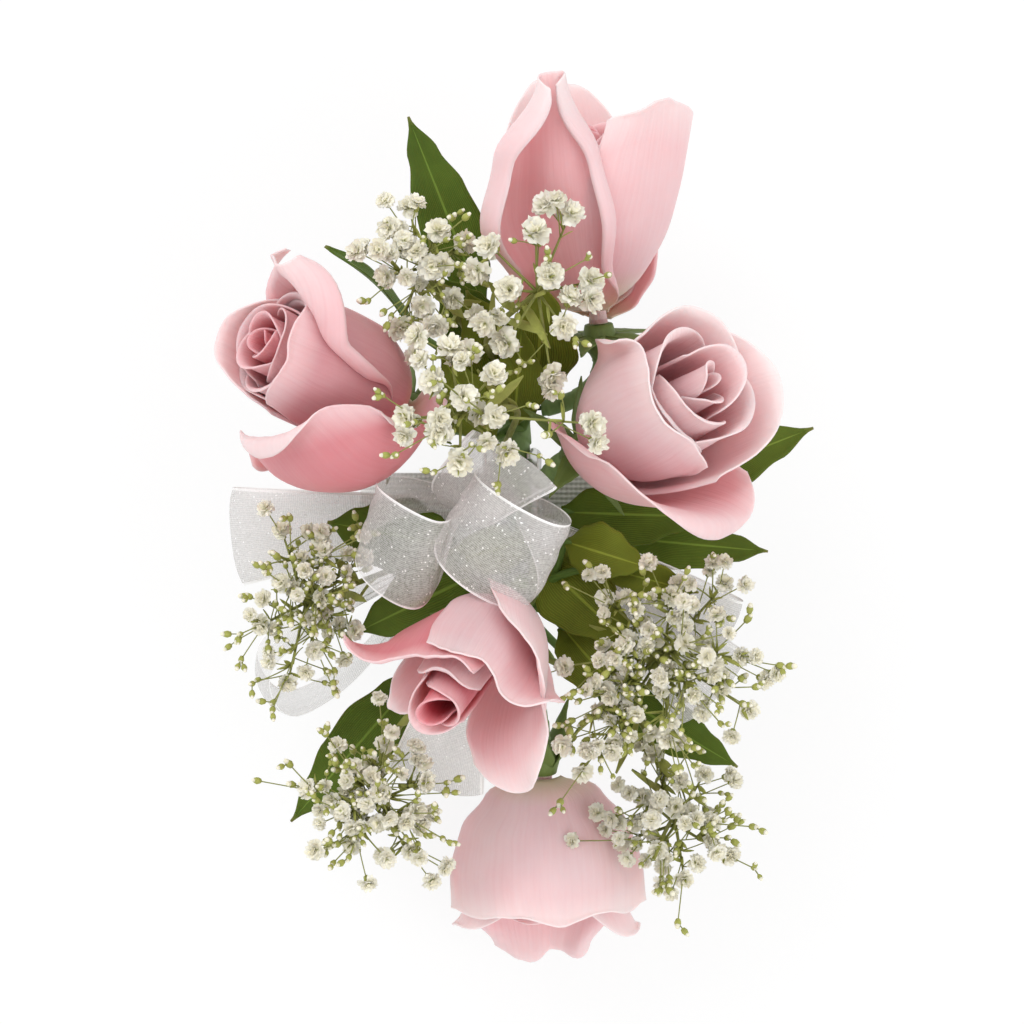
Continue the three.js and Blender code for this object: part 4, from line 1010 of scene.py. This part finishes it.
class CORSAGE_OT_sprays(bpy.types.Operator):
    """Make the sprays of small white blossom"""
    bl_idname = "corsage.sprays"
    bl_label = "Blossom Sprays"

    def execute(self, context):
        greens = settings("green")
        cup = green_finish("blossom_cup", (0.34, 0.36, 0.075), 600.0)
        finishes = [blossom_finish(), cup, green_finish("blossom_twig", greens.twig, 400.0)]
        for number, (name, spray) in enumerate(SPRAYS.items()):
            rng = random.Random(101 + number)
            shell = Shell()
            root = on_spine(spray["root"], SEAT_GAP)
            centre = Vector(spray["centre"])
            hub = centre - Vector((0, 0, spray["reach"][2]))
            stem = curve_through([root, root.lerp(centre, 0.5) + Vector(spray["bow"]), hub])
            shell.tube(stem, taper(stem, 0.75, 0.25), 8, 2, 0.5)
            for k in range(spray["count"]):
                self.twig(shell, spray, hub, self.tip(spray, centre, k), rng)
            for tip in spray.get("own", ()):
                self.twig(shell, spray, hub, Vector(tip), rng)
            for k in range(STEM_LEAVES):
                place = stem[len(stem) * (k + STEM_LEAVES - 1) // (2 * STEM_LEAVES - 1)]
                self.bract(shell, place, Vector((0, 0, 0.6)), rng, STEM_LEAF_SCALE)
            piece = shell.build("small_blossom_" + name, finishes)
            stand_for(piece, "base", "blossom", "blossom_spray_" + name)
        return {"FINISHED"}

    def tip(self, spray, centre, k):
        """Where a fork ends: the forks fill the head's dome by the golden angle."""
        reach = spray["reach"]
        angle = k * GOLDEN_ANGLE + math.radians(spray["turn"])
        ring = math.sqrt((k + 0.5) / spray["count"])
        across = (reach[0] * ring * math.cos(angle), reach[1] * ring * math.sin(angle))
        return centre + Vector((*across, -reach[2] * ring * ring))

    def twig(self, shell, spray, hub, tip, rng):
        """One fork of a spray, with its floret, side florets and buds."""
        radius = settings("green").floret_radius * 1000
        knee = hub.lerp(tip, 0.5) + Vector((0, 0, 0.15 * spray["reach"][2]))
        line = arc(hub, knee, tip, 10)
        outward = (tip - hub).normalized()
        sway = Vector((rng.uniform(-0.5, 0.5), rng.uniform(-0.5, 0.5), 0))
        face = (outward + Vector((0, 0, 1.1)) + sway).normalized()
        shell.tube(line, [0.38 - 0.18 * i / 10 for i in range(11)], 5, 2, rng.random())
        radius *= spray["size"]
        floret(shell, tip + face * radius * 0.2, face, radius * rng.uniform(0.95, 1.1), rng)
        for _ in range(spray["side"]):
            fork = line[rng.randint(3, 9)]
            turn = rng.uniform(0, 6.28)
            lean = Vector((math.cos(turn), math.sin(turn), rng.uniform(-0.2, 0.6))) * rng.uniform(3.5, 8.5)
            end = fork + outward * rng.uniform(0.5, 5) + lean
            middle = fork.lerp(end, 0.5) + Vector((0, 0, 0.8)) - lean * 0.12
            small = arc(fork, middle, end, 5)
            shell.tube(small, 0.16, 4, 2, rng.random())
            facing = ((end - fork).normalized() + Vector((0, 0, 0.8))).normalized()
            self.bract(shell, fork, facing, rng)
            if rng.random() < spray["open"]:
                floret(shell, end, facing, radius * rng.uniform(0.7, 1.0), rng)
            else:
                self.buds(shell, end, facing, rng)

    def bract(self, shell, place, facing, rng, scale=1.0):
        """A small narrow leaf at a fork, or a longer one on the stem."""
        sway = Vector((rng.uniform(-1, 1), rng.uniform(-1, 1), rng.uniform(-0.2, 0.6)))
        away = (facing + sway).normalized()
        side = away.orthogonal().normalized()
        normal = side.cross(away)
        long = rng.uniform(2.5, 5) * scale

        def blade(u, v):
            half = 0.5 * scale * blend((0.4, 1, 0.8, 0.05), v)
            return place + away * long * v + side * u * half + normal * (0.6 * v * v + 0.2 * abs(u)) * scale

        shell.grid(blade, (-1, 0, 1), spread(4, 0, 1), 1, rng.random())

    def buds(self, shell, place, facing, rng):
        """Closed florets at a twig's end: green cups with the cream petals showing at their mouths."""
        for k in range(rng.choice((1, 2, 2, 3))):
            lean = Vector((rng.uniform(-1, 1), rng.uniform(-1, 1), rng.uniform(-0.3, 0.7)))
            axis = (facing + lean * (0.9 if k else 0.3)).normalized()
            size = rng.uniform(0.75, 1.15)
            head = place + axis * rng.uniform(1.2, 3.2) * (k > 0)
            if k:
                shell.tube([place, head], 0.14, 4, 2, rng.random())
            shell.ball(head, axis, 2.1 * size, 0.72 * size, 1, rng.random())
            bead = 0.52 * size * rng.uniform(0.7, 1.15)
            shell.ball(head + axis * 0.75 * size, axis, 1.4 * size, bead, 0, 1.0, 7, 4)


# Leaves

def leaf_surface(leaf):
    """A leaf's blade, folded along its midrib and arched to its tip."""
    start, tip = Vector(leaf["foot"]), Vector(leaf["tip"])
    along = tip - start
    side = along.cross(Vector(leaf.get("up", (0, 0, 1)))).normalized()
    normal = side.cross(along).normalized()

    def blade(u, v):
        half = leaf["half"] * blend((0.18, 0.72, 1, 0.86, 0.5, 0.03), v)
        arch = leaf["arch"] * math.sin(math.pi * v)
        wave = 0.35 * math.sin(7 * v + 2 * u) * abs(u)
        return start + along * v + side * u * half + normal * (arch + 0.22 * abs(u) * half + wave)

    return blade


def leaf_finish(name, colour):
    """Leaf: satin green with a pale midrib and fine veins that run to the tip."""
    made = Finish(name, specular_ior_level=0.16, subsurface_weight=0.12, subsurface_scale=0.001)
    across, along = made.surface()
    from_rib = abs(across)
    rib = 1 - from_rib.above(0.0, 0.07)
    lines = made.wave("X", made.vector(across, along * 0.12), 5.0,
                      distortion=1.2, detail=2.0, detail_scale=3.0)
    mottle = made.speckle(made.place(), 120.0, 4.0)
    shade = (lines * 0.35 + mottle * 0.7 - 0.12).clamp()
    tones = made.mix(scaled(colour, 0.62), scaled(colour, 1.7, 0.01), shade)
    tones = made.mix(tones, scaled(colour, 2.6, 0.03), rib * 0.7)
    tones = made.mix(tones, (0.3, 0.27, 0.08), along.above(0.95, 0.05) * 0.5)
    made.set(base_color=tones, roughness=0.4 + mottle * 0.22)
    return made.bump(lines * 0.4 + rib * 0.8, 0.35, 0.0005).material


class CORSAGE_OT_sprigs(bpy.types.Operator):
    """Make the leaf sprigs"""
    bl_idname = "corsage.sprigs"
    bl_label = "Leaf Sprigs"

    def execute(self, context):
        greens = settings("green")
        stalk = green_finish("leaf_stalk", scaled(greens.leaf_dark, 1.3))
        for name, sprig in SPRIGS.items():
            share = sprig["shade"]
            colour = tuple(a + (b - a) * share for a, b in zip(greens.leaf_dark, greens.leaf_olive))
            shell = Shell()
            for leaf in sprig["leaves"]:
                across, along = LEAF_GRID
                shell.leaf(leaf_surface(leaf), spread(across), spread(along, 0, 1), LEAF_THICK, 0)
                start, tip = Vector(leaf["foot"]), Vector(leaf["tip"])
                root = on_spine(sprig["root"], SEAT_GAP)
                line = curve_through([root, leaf["knee"], start, start.lerp(tip, 0.12)])
                shell.tube(line, taper(line, 0.95, 0.35), 9, 1)
            piece = shell.build("leaves_" + name, [leaf_finish("leaf_" + name, colour), stalk])
            stand_for(piece, "base", "leaf", "leaf_sprig_" + name)
        return {"FINISHED"}


# Ribbon bow

def loop_surface(knot, loop):
    """A loop of ribbon that leaves the gather and comes back to it."""
    leave = math.radians(loop["leave"])
    start = knot + Vector((math.cos(leave), math.sin(leave), 0)) * 0.8 * GATHER_RADIUS
    reach = Vector(loop["tip"]) - start
    along = reach.normalized()
    width = Vector(loop["width"])
    width = (width - along * width.dot(along)).normalized()
    lift = width.cross(along)
    bend = Vector(loop.get("bend", (0, 0, 0)))
    belly = loop.get("belly", RIBBON_BELLY)

    def surface(u, v):
        share = math.sin(math.pi * v)
        bulge = loop["height"] * math.sin(2 * math.pi * v) * share
        rise = (bulge if v < 0.5 else belly * bulge) + 0.5 * math.cos(math.pi * v)
        opening = RIBBON_PINCH + (1 - RIBBON_PINCH) * share ** loop["neck"]
        pleat = 0.8 * (1 - opening) * math.cos(3 * math.pi * u) + 0.45 * opening * math.sin(2.2 * u + 9 * v)
        ruffle = 0.5 * opening * abs(u) ** 3 * math.sin(23 * v + 3 * u)
        centre = start + reach * share * (1 - 0.03 * share ** 8 * abs(u) ** 3)
        centre += bend * (4 * share * (1 - share))
        return centre + lift * (rise + pleat + ruffle) + width * (u * opening * RIBBON_WIDTH / 2)

    return surface


def ribbon_finish():
    """Sheer organza: a fine open weave with denser selvages and a little glitter; their near-white colour is
    a painted highlight.
    """
    look = settings("ribbon")
    made = Finish("organza", sheen_weight=0.3)
    across, along = made.surface()
    edge = abs(across).above(1 - look.selvage, 0.015)
    cord = abs(across).above(1 - 0.5 * look.selvage, 0.01)
    place = made.place()
    warp = made.wave("X", made.vector(across, 0.0), 8.0)
    weft = made.wave("Y", made.vector(0.0, along), 95.0)
    grain = made.speckle(place, 1900.0, 2.0, 0.7)
    cloud = made.speckle(place, 110.0, 2.0)
    # Glitter specks: more opaque and smoother, which is the ribbon's own. Their near-white colour is a
    # painted glint.
    cells = made.node("ShaderNodeTexVoronoi", inputs={"Vector": place, "Scale": 3200.0}, out=1)
    glitter_glint = made.node("ShaderNodeSeparateColor", inputs={0: cells}).above(0.985, 0.006)
    weave = warp * 0.17 + weft * 0.17 + grain * 0.6
    threads = look.opacity + (weave - 0.46) * 0.75 + (cloud - 0.5) * 0.2
    opacity = (threads + edge * 0.3 + cord * 0.3 + glitter_glint * 0.4).clamp()
    # The selvages are more opaque for their denser weave. Their lighter, near-white colour is a painted
    # highlight.
    colour = made.mix(scaled(look.colour, 0.8), look.colour, (weave.above(0.3, 0.3) + edge).clamp())
    colour = made.mix(colour, (0.97, 0.965, 0.96), (glitter_glint + edge * 0.8).clamp())
    made.set(base_color=colour, alpha=opacity, roughness=0.45 - glitter_glint * 0.25)
    return made.bump(weave, 0.3, 0.0002).material


class CORSAGE_OT_bow(bpy.types.Operator):
    """Make the ribbon loops, pair by pair, and the tie that holds them"""
    bl_idname = "corsage.bow"
    bl_label = "Ribbon Bow"

    def execute(self, context):
        organza = ribbon_finish()
        for k, (name, loops) in enumerate(BOW.items()):
            knot = Vector((0, 0, GATHER_FIRST + k * GATHER_PITCH))
            shell = Shell()
            length = 0
            for loop in loops:
                surface = loop_surface(knot, loop)
                rows = spread(LOOP_GRID[1], 0, 1)
                shell.grid(surface, spread(LOOP_GRID[0]), rows)
                length += line_length([surface(0, v) for v in rows])
            piece = shell.build("ribbon_loops_" + name, [organza])
            stand_for(piece, "base", "ribbon", "bow_loops_" + name)
        tie = Shell()
        crown = GATHER_FIRST + 3.5 * GATHER_PITCH + 0.5
        foot = SPINE_Z + SPINE_RADIUS - 4 + SEAT_GAP
        shoulder = crown - 0.2
        leg = [(TIE_REACH, foot), (TIE_REACH, (foot + shoulder) / 2), (TIE_REACH, shoulder),
               (0.6 * TIE_REACH, crown + 1)]
        route = curve_through([(0, y, z) for y, z in leg] + [(0, -y, z) for y, z in reversed(leg)])
        tie.tube(route, TIE_RADIUS, 12)
        wire = bpy.data.materials["lacquered_wire"]
        stand_for(tie.build("bow_wire_tie", [wire]), "base", "wire", "bow_tie")
        return {"FINISHED"}


# Spine, clip and wristlet

class CORSAGE_OT_spine(bpy.types.Operator):
    """Make the spine of stems under spiral tape"""
    bl_idname = "corsage.spine"
    bl_label = "Taped Spine"

    def execute(self, context):
        shell = Shell()
        sides, count = SPINE_GRID
        rows = []
        length = SPINE_TOP + SPINE_TAIL
        for j in range(count + 1):
            y = -SPINE_TAIL + length * j / count
            end = min(y + SPINE_TAIL, SPINE_TOP - y) / 7
            squeeze = 0.42 + 0.58 * math.sqrt(min(end, 1))
            row = []
            for i in range(sides):
                angle = 2 * math.pi * i / sides
                lap = (y / TAPE_PITCH - i / sides) % 1
                radius = (SPINE_RADIUS - 0.35 * lap) * squeeze
                spot = Vector((3 * math.cos(angle), y * 0.25, 3 * math.sin(angle)))
                radius += 0.1 * noise.noise(spot) - 0.06
                place = Vector((radius * math.cos(angle), y, SPINE_Z + radius * math.sin(angle)))
                row.append(shell.point(place, i / sides, y))
            rows.append(row)
        for low, high in zip(rows, rows[1:]):
            for i in range(sides):
                j = (i + 1) % sides
                shell.face((low[i], high[i], high[j], low[j]), 0)
        shell.face(tuple(rows[0]), 0)
        shell.face(tuple(rows[-1][::-1]), 0)
        piece = shell.build("taped_spine", [tape_finish("spine_tape", settings("green").tape)])
        stand_for(piece, "base", "tape", "spine")
        return {"FINISHED"}


class CORSAGE_OT_clip(bpy.types.Operator):
    """Make the metal clip with its bent prongs"""
    bl_idname = "corsage.clip"
    bl_label = "Clip"

    def execute(self, context):
        made = Finish("clip_steel", metallic=1.0)
        brushed = made.speckle(made.stretched(3000, 120, 3000), 1.0, 3.0)
        metal = settings("strap").metal
        made.set(base_color=made.mix(scaled(metal, 0.8), metal, brushed), roughness=0.24 + brushed * 0.2)
        made.bump(brushed, 0.12, 0.0002)
        shell = Shell()
        half, corner = CLIP_WIDTH / 2, 1.6

        def plate(u, v):
            y = CLIP_LENGTH * (v - 0.5)
            near = max(0, abs(y) - (CLIP_LENGTH / 2 - corner))
            x = half - (corner - math.sqrt(max(corner ** 2 - near ** 2, 0)))
            return Vector((u * x, y, CLIP_Z + CLIP_THICK / 2))

        shell.leaf(plate, spread(10), [0.5 - 0.5 * math.cos(math.pi * k / 40) for k in range(41)], CLIP_THICK)
        radius = SPINE_RADIUS + SEAT_GAP + CLIP_THICK / 2
        for y in (-1, 1):
            for side in (-1, 1):

                def prong(u, v, y=y, side=side):
                    angle = math.radians(-90 + 140 * v)
                    width = PRONG_WIDTH / 2 * (1 - 0.7 * smooth(0.8, 1, v))
                    at = y * (CLIP_LENGTH - PRONG_WIDTH) / 2 + side * u * width
                    return Vector((side * radius * math.cos(angle), at, SPINE_Z + radius * math.sin(angle)))

                shell.leaf(prong, spread(6), spread(30, 0, 1), CLIP_THICK)
        stand_for(shell.build("wristlet_clip", [made.material]), "base", "metal", "clip")
        return {"FINISHED"}


class CORSAGE_OT_wristlet(bpy.types.Operator):
    """Make the woven elastic wristlet"""
    bl_idname = "corsage.wristlet"
    bl_label = "Wristlet"

    def execute(self, context):
        look = settings("strap")
        made = Finish("woven_elastic", roughness=0.8, sheen_weight=0.2)
        across, along = made.surface()
        ribs = made.wave("X", made.vector(across, 0.0), look.ribs * 0.16)
        picks = made.wave("Y", made.vector(across * 0.04, along), 0.32, distortion=0.6)
        dust = made.speckle(made.place(), 300.0, 3.0)
        weave = ribs * 0.65 + picks * 0.35
        shade = (weave * 0.75 + dust * 0.35 - 0.05).clamp()
        colour = made.mix(scaled(look.elastic, 0.68), look.elastic, shade)
        made.set(base_color=colour, roughness=0.7 + dust * 0.2)
        made.bump(weave, 0.6, 0.0004)
        half, bend = STRAP_HALF_FLAT, STRAP_BEND
        run = 2 * half
        arc = math.pi * (bend + STRAP_THICK / 2)
        total = 2 * run + 2 * arc

        def middle(s):
            """The strap's middle line, and its outward direction."""
            s %= total
            centre = -bend
            radius = bend + STRAP_THICK / 2
            if s < run:
                return Vector((-half + s, 0, centre + radius)), Vector((0, 0, 1))
            if s < run + arc:
                angle = math.pi / 2 - (s - run) / arc * math.pi
                out = Vector((math.cos(angle), 0, math.sin(angle)))
                return Vector((half, 0, centre)) + out * radius, out
            if s < 2 * run + arc:
                return Vector((half - (s - run - arc), 0, centre - radius)), Vector((0, 0, -1))
            angle = -math.pi / 2 - (s - 2 * run - arc) / arc * math.pi
            out = Vector((math.cos(angle), 0, math.sin(angle)))
            return Vector((-half, 0, centre)) + out * radius, out

        shell = Shell()
        ribs_across = look.ribs * 4
        section = [(u, 1) for u in spread(ribs_across)] + [(u, -1) for u in spread(ribs_across, 1.0, -1.0)]
        rows = []
        for k in range(STRAP_ROWS):
            s = total * k / STRAP_ROWS
            place, out = middle(s)
            row = []
            for u, side in section:
                rib = 0.12 * math.cos(u * math.pi * look.ribs) - 0.12
                thick = STRAP_THICK / 2 + rib if abs(u) < 1 else STRAP_THICK / 2 - 0.3
                aside = Vector((0, u * STRAP_WIDTH / 2, 0))
                row.append(shell.point(place + out * thick * side + aside, u, s))
            rows.append(row)
        for low, high in zip(rows, rows[1:] + rows[:1]):
            shell.bridge(low, high, 0)
        piece = shell.build("elastic_wristlet", [made.material])
        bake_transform(piece)
        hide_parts("strap_back", "strap_side_left", "strap_side_right", "strap_front")
        return {"FINISHED"}


# Stage

class CORSAGE_OT_stage(bpy.types.Operator):
    """Make the floor, the soft lamps and the camera that looks straight down"""
    bl_idname = "corsage.stage"
    bl_label = "Stage"

    def execute(self, context):
        look = settings("stage")
        scene = context.scene
        scene.view_settings.view_transform = "Standard"
        low = CAD_BOX[0][2] - 0.0005
        corners = [(x * FLOOR_REACH, y * FLOOR_REACH) for x, y in ((-1, -1), (1, -1), (1, 1), (-1, 1))]
        mesh = bpy.data.meshes.new("pale_floor")
        mesh.from_pydata([(x, y, low) for x, y in corners], [], [(0, 1, 2, 3)])
        floor = bpy.data.objects.new("pale_floor", mesh)
        context.collection.objects.link(floor)
        made = Finish("floor_white", roughness=0.9)
        paper = made.speckle(made.place(), 40.0, 3.0)
        made.set(base_color=made.mix(scaled(look.floor, 0.98), look.floor, paper))
        # Seen by the camera, in a gloss or through the ribbon, the floor glows under its shadow.
        path = [made.node("ShaderNodeLightPath", out=k) for k in (0, 3, 6)]
        seen = (path[0] + path[1] + path[2]).clamp()
        glow = made.node("ShaderNodeEmission", inputs={"Color": (1, 1, 1), "Strength": 1.0})
        surface = Value(made.tree, made.shader.outputs[0])
        both = made.node("ShaderNodeMixShader", inputs={0: seen * FLOOR_GLOW, 1: surface, 2: glow})
        made.tree.links.new(both.socket, made.tree.nodes["Material Output"].inputs[0])
        mesh.materials.append(made.material)
        world = bpy.data.worlds.new("even_light")
        world.use_nodes = True
        world.node_tree.nodes["Background"].inputs[0].default_value = (1, 1, 1, 1)
        world.node_tree.nodes["Background"].inputs[1].default_value = look.sky
        scene.world = world
        for name, place, size in LAMPS:
            lamp = bpy.data.lights.new(name + "_lamp", "AREA")
            lamp.energy = getattr(look, name)
            lamp.size = size
            holder = bpy.data.objects.new(name + "_lamp", lamp)
            holder.location = place
            holder.rotation_euler = Vector(place).to_track_quat("Z", "Y").to_euler()
            context.collection.objects.link(holder)
        lens = bpy.data.cameras.new("corsage_camera")
        lens.lens = look.lens
        lens.sensor_width = SENSOR_WIDTH
        camera = bpy.data.objects.new("corsage_camera", lens)
        camera.location = (0, 0, CAMERA_AIM + look.distance)
        context.collection.objects.link(camera)
        scene.camera = camera
        return {"FINISHED"}


class CORSAGE_PT_panel(bpy.types.Panel):
    """Lists the corsage's settings and the steps that make it"""
    bl_idname = "CORSAGE_PT_panel"
    bl_label = "Wrist Corsage"
    bl_space_type = "VIEW_3D"
    bl_region_type = "UI"
    bl_category = "Corsage"

    def draw(self, context):
        for name in SETTINGS:
            box = self.layout.box()
            group = settings(name)
            for key in group.bl_rna.properties.keys():
                if key not in {"rna_type", "name"}:
                    box.prop(group, key)
        for step in STEPS:
            self.layout.operator(step.bl_idname)


SETTINGS = {
    "rose": CorsageRoseSettings,
    "green": CorsageGreenSettings,
    "ribbon": CorsageRibbonSettings,
    "strap": CorsageStrapSettings,
    "stage": CorsageStageSettings,
}
STEPS = (
    CORSAGE_OT_stage, CORSAGE_OT_wristlet, CORSAGE_OT_clip, CORSAGE_OT_spine, CORSAGE_OT_roses,
    CORSAGE_OT_bow, CORSAGE_OT_sprays, CORSAGE_OT_sprigs)


def register():
    for kind in (*SETTINGS.values(), *STEPS, CORSAGE_PT_panel):
        bpy.utils.register_class(kind)
    for name, kind in SETTINGS.items():
        setattr(bpy.types.Scene, "corsage_" + name, bpy.props.PointerProperty(type=kind))


def unregister():
    for name in SETTINGS:
        delattr(bpy.types.Scene, "corsage_" + name)
    for kind in reversed((*SETTINGS.values(), *STEPS, CORSAGE_PT_panel)):
        bpy.utils.unregister_class(kind)


def main():
    register()
    for step in STEPS:
        group, name = step.bl_idname.split(".")
        getattr(getattr(bpy.ops, group), name)()


if __name__ == "__main__":
    main()
